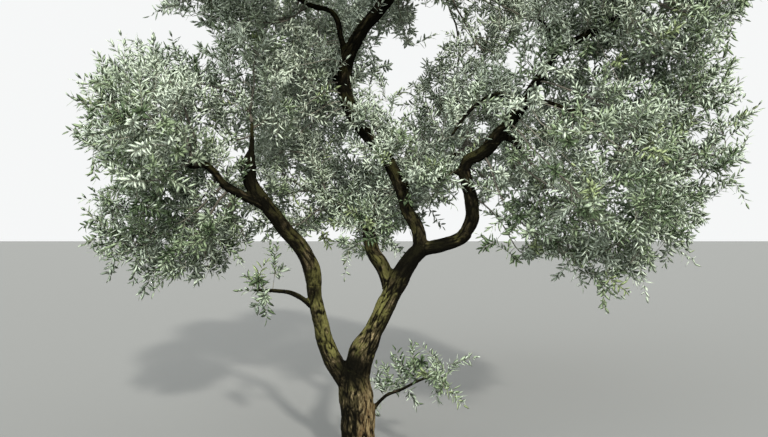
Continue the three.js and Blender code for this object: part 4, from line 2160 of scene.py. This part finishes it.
@dataclass
class Foliage:
    """Leafy shoots: thin stems with pairs of narrow leaves, each leaf a closed blade of eight faces.

    Attributes:
        LEFT, RIGHT: A leaf's corners from its base to its tip and back: how far along, how far
            across, and 1 where it stands proud.
        OUTLINE: All six corners.
        UPPER, UNDER: The triangles of its upper side and of its underside.
        growth: The branches that carry the shoots.
        leaf: What the leaves are like.
        rule: Where each tone lies.
        pairs: How many pairs of leaves a shoot has, besides the leaf at its tip.
        lengths: The least and the most length of a shoot.
        shortest: The length below which a shoot at the crown's edge is left out.
        pulls: How much a shoot points to its place, outwards, upwards and by chance.
        droops: The least and the most bend upwards.
        sway: How much a shoot bends sideways.
        stem_radii: A stem's radius at its base, middle and tip.
        margin: How far beyond the frame's box leaves may reach, as a share of its sides.
        seed: The seed of all chance.
        most_leaves: The most leaves in one piece.
        stems: The stems' piece.
        pieces: The pieces of leaves.
    """

    LEFT: ClassVar[tuple[Triple, ...]] = ((0.0, 0.0, 0.0), (0.3, -0.47, 1.0), (0.7, -0.42, 1.0))
    RIGHT: ClassVar[tuple[Triple, ...]] = ((1.0, 0.0, 0.0), (0.7, 0.42, 1.0), (0.3, 0.47, 1.0))
    OUTLINE: ClassVar[np.ndarray] = np.array(LEFT + RIGHT)
    UPPER: ClassVar[np.ndarray] = np.array(((0, 1, 5), (1, 2, 4), (1, 4, 5), (2, 3, 4)))
    UNDER: ClassVar[np.ndarray] = np.array(((0, 3, 2), (0, 2, 1), (0, 4, 3), (0, 5, 4)))

    growth: Growth
    leaf: LeafHabit = LeafHabit()
    rule: ToneRule = ToneRule()
    pairs: int = 8
    lengths: Span = (0.15, 0.28)
    shortest: float = 0.07
    pulls: tuple[float, float, float, float] = (0.75, 0.4, 0.5, 0.33)
    droops: Span = (-0.55, 0.35)
    sway: float = 0.18
    stem_radii: Triple = (0.0021, 0.0015, 0.0006)
    margin: float = 0.02
    seed: int = 19
    most_leaves: int = 24000
    stems: Object = field(init=False)
    pieces: list[Object] = field(default_factory=list)

    def build(self) -> None:
        """Makes the stems and the leaves."""
        rng = np.random.default_rng(self.seed)
        shoots = self._shoots(rng)
        self.stems = self._stems(shoots)
        corners = self._blades(rng, shoots)
        self._deal(corners, self.rule.dealt(rng, shoots.start))

    def dress(self, masses: list[Mass]) -> None:
        """Finishes the stems, attaches them to the root and hides the masses that the leaves replace.

        Args:
            masses: The masses that the leaves replace.
        """
        self.stems.data.materials.append(YoungWood.SHOOT.value.material())
        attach(self.stems, "root")
        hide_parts(*(mass.name for mass in masses))
        log.info("stems: %d triangles", len(self.stems.data.polygons))

    def _shoots(self, rng: np.random.Generator) -> Shoots:
        """Sets the shoots on the growth.

        Args:
            rng: Makes them differ.

        Returns:
            All shoots that have room in the frame's box.
        """
        start = self.growth.points[self.growth.shoots_at]
        count = len(start)
        middle = np.array(CAD_BOX).mean(axis=0) * (1.0, 1.0, 0.9)
        outward = units(start - middle)
        toward = units(self.growth.shoots_to - start)
        to_place, out, up, chance = self.pulls
        way = units(to_place * toward + out * outward + up * UP + chance * rng.normal(size=(count, 3)))
        bend = rng.uniform(*self.droops, count)[:, None] * UP + self.sway * rng.normal(size=(count, 3))
        length = rng.uniform(*self.lengths, count)
        length = np.minimum(length, self._room(start, way + 0.5 * bend))
        kept = length > self.shortest
        return Shoots(start[kept], way[kept], bend[kept], length[kept])

    def _room(self, start: np.ndarray, way: np.ndarray) -> np.ndarray:
        """Measures how far shoots may grow before their leaves leave the frame's box.

        Args:
            start: Where each shoot begins.
            way: Its direction.

        Returns:
            The longest length of each.
        """
        low, high = np.array(CAD_BOX)
        margin = self.margin * (high - low) - 0.5 * self.leaf.length
        ends = np.where(way > 0, high + margin, low - margin)
        return ((ends - start) / np.where(np.abs(way) < 1e-6, 1e-6, way)).min(axis=1)

    def _stems(self, shoots: Shoots) -> Object:
        """Makes the stems of all shoots as one mesh of three-sided tubes.

        Args:
            shoots: The shoots.

        Returns:
            The piece.
        """
        count, rings, sides = len(shoots.start), 3, 3
        part = np.broadcast_to(np.linspace(0.0, 1.0, rings), (count, rings))
        line = shoots.at(part)
        ahead = units(np.gradient(line, axis=1))
        side = units(np.cross(ahead, units(np.array((0.31, 0.17, 0.93)))))
        other = np.cross(ahead, side)
        turn = np.arange(sides) * (2 * math.pi / sides)
        radius = np.array(self.stem_radii)[None, :, None, None]
        ring = np.cos(turn)[None, None, :, None] * side[:, :, None, :]
        ring = ring + np.sin(turn)[None, None, :, None] * other[:, :, None, :]
        shell = line[:, :, None, :] + ring * radius
        one = tube_triangles(rings, sides)
        triangles = one[None, :, :] + (np.arange(count) * rings * sides)[:, None, None]
        return mesh_from_arrays("leafy_shoot_stems", shell.reshape(-1, 3), triangles.reshape(-1, 3))

    def _blades(self, rng: np.random.Generator, shoots: Shoots) -> np.ndarray:
        """Works out every leaf: pairs crosswise along each shoot, and one at its tip.

        Args:
            rng: Makes the leaves differ.
            shoots: The shoots.

        Returns:
            The six corners of each leaf of each shoot.
        """
        leaf = self.leaf
        nodes = np.concatenate((np.repeat(np.arange(self.pairs), 2), [self.pairs]))
        shape = (len(shoots.start), len(nodes))
        part = 0.1 + 0.88 * nodes / self.pairs
        part = np.clip(part[None, :] + rng.normal(0, leaf.scatter, shape), 0.02, 1.0)
        base = shoots.at(part)
        axis = units(shoots.way[:, None, :] + part[..., None] * shoots.bend[:, None, :])
        side = units(np.cross(axis, units(rng.normal(size=(shape[0], 1, 3)))))
        other = np.cross(axis, side)
        opposite = (np.arange(shape[1]) % 2)[None, :] * math.pi
        turn = rng.uniform(0, math.tau, (shape[0], 1)) + nodes[None, :] * (math.pi / 2) + opposite
        turn = turn + rng.normal(0, leaf.roll, shape)
        spread = np.radians(rng.normal(leaf.spread, leaf.spread_range, shape))
        spread[:, -1] = np.radians(leaf.tip_spread)
        out = np.cos(turn)[..., None] * side + np.sin(turn)[..., None] * other
        ahead = np.cos(spread)[..., None] * axis + np.sin(spread)[..., None] * out
        ahead = units(ahead + leaf.sway * rng.normal(size=out.shape))
        face = axis - ahead * np.einsum("ijk,ijk->ij", axis, ahead)[..., None]
        face = units(face) + leaf.skyward * UP + leaf.tilt * rng.normal(size=out.shape)
        face = units(face - ahead * np.einsum("ijk,ijk->ij", face, ahead)[..., None])
        across = np.cross(face, ahead)
        taper = 0.72 + 0.4 * np.sin(math.pi * np.clip(part, 0.05, 0.95)) ** 0.7
        size = leaf.length * taper * rng.uniform(*leaf.lengths, shape)
        width = leaf.width * taper * rng.uniform(*leaf.widths, shape)
        curl = size * rng.uniform(*leaf.curls, shape)
        reach, aside, proud = self.OUTLINE.T
        lift = leaf.crown * proud - curl[..., None] * reach**2
        return (
            base[:, :, None, :]
            + (size[..., None] * reach)[..., None] * ahead[:, :, None, :]
            + (width[..., None] * aside)[..., None] * across[:, :, None, :]
            + lift[..., None] * face[:, :, None, :]
        )

    def _deal(self, corners: np.ndarray, dealt: np.ndarray) -> None:
        """Makes the leaves' pieces, each of one upper tone.

        Args:
            corners: The corners of each leaf of each shoot.
            dealt: The number of each shoot's tone.
        """
        pale, dull = (side.value.material() for side in LeafUnderside)
        for index, tone in enumerate(LeafTone):
            upper = tone.value.material()
            under = pale if tone in (LeafTone.GREY, LeafTone.SILVER) else dull
            mine = np.flatnonzero(dealt == index)
            parts = max(1, math.ceil(len(mine) * corners.shape[1] / self.most_leaves))
            for number, some in enumerate(np.array_split(mine, parts)):
                name = f"{tone.value.name.replace('leaf', 'leaves')}_{number + 1}"
                self._piece(name, corners[some].reshape(-1, 6, 3), upper, under)

    def _piece(self, name: str, corners: np.ndarray, upper: Material, under: Material) -> None:
        """Makes one piece of leaves.

        Args:
            name: The piece's name.
            corners: The six corners of each leaf.
            upper: The finish of the upper sides.
            under: The finish of the undersides.
        """
        one = np.concatenate((self.UPPER, self.UNDER))
        triangles = one[None, :, :] + (np.arange(len(corners)) * len(self.OUTLINE))[:, None, None]
        piece = mesh_from_arrays(name, corners.reshape(-1, 3), triangles.reshape(-1, 3))
        piece.data.materials.append(upper)
        piece.data.materials.append(under)
        sides = np.repeat((0, 1), (len(self.UPPER), len(self.UNDER))).astype(np.int32)
        piece.data.polygons.foreach_set("material_index", np.tile(sides, len(corners)))
        piece.data.update()
        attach(piece, "root")
        self.pieces.append(piece)
        log.info("%s: %d leaves, %d triangles", name, len(corners), len(piece.data.polygons))


def main() -> None:
    """Builds the tree in order: camera and studio, limbs, growth, wood and leaves."""
    logging.basicConfig(level=logging.INFO, format="%(relativeCreated)7d ms %(message)s")
    Viewpoint().set_up()
    Studio().set_up()
    limbs = read_limbs()
    log.info("read %d limbs", len(limbs))
    barked = BarkedLimbs(limbs)
    barked.build()
    barked.dress(BarkFinish().material())
    masses = read_masses()
    growth = Growth(limbs, masses)
    growth.grow()
    wood = BranchWood(growth)
    wood.build()
    wood.dress()
    foliage = Foliage(growth)
    foliage.build()
    foliage.dress(masses)


if __name__ == "__main__":
    main()
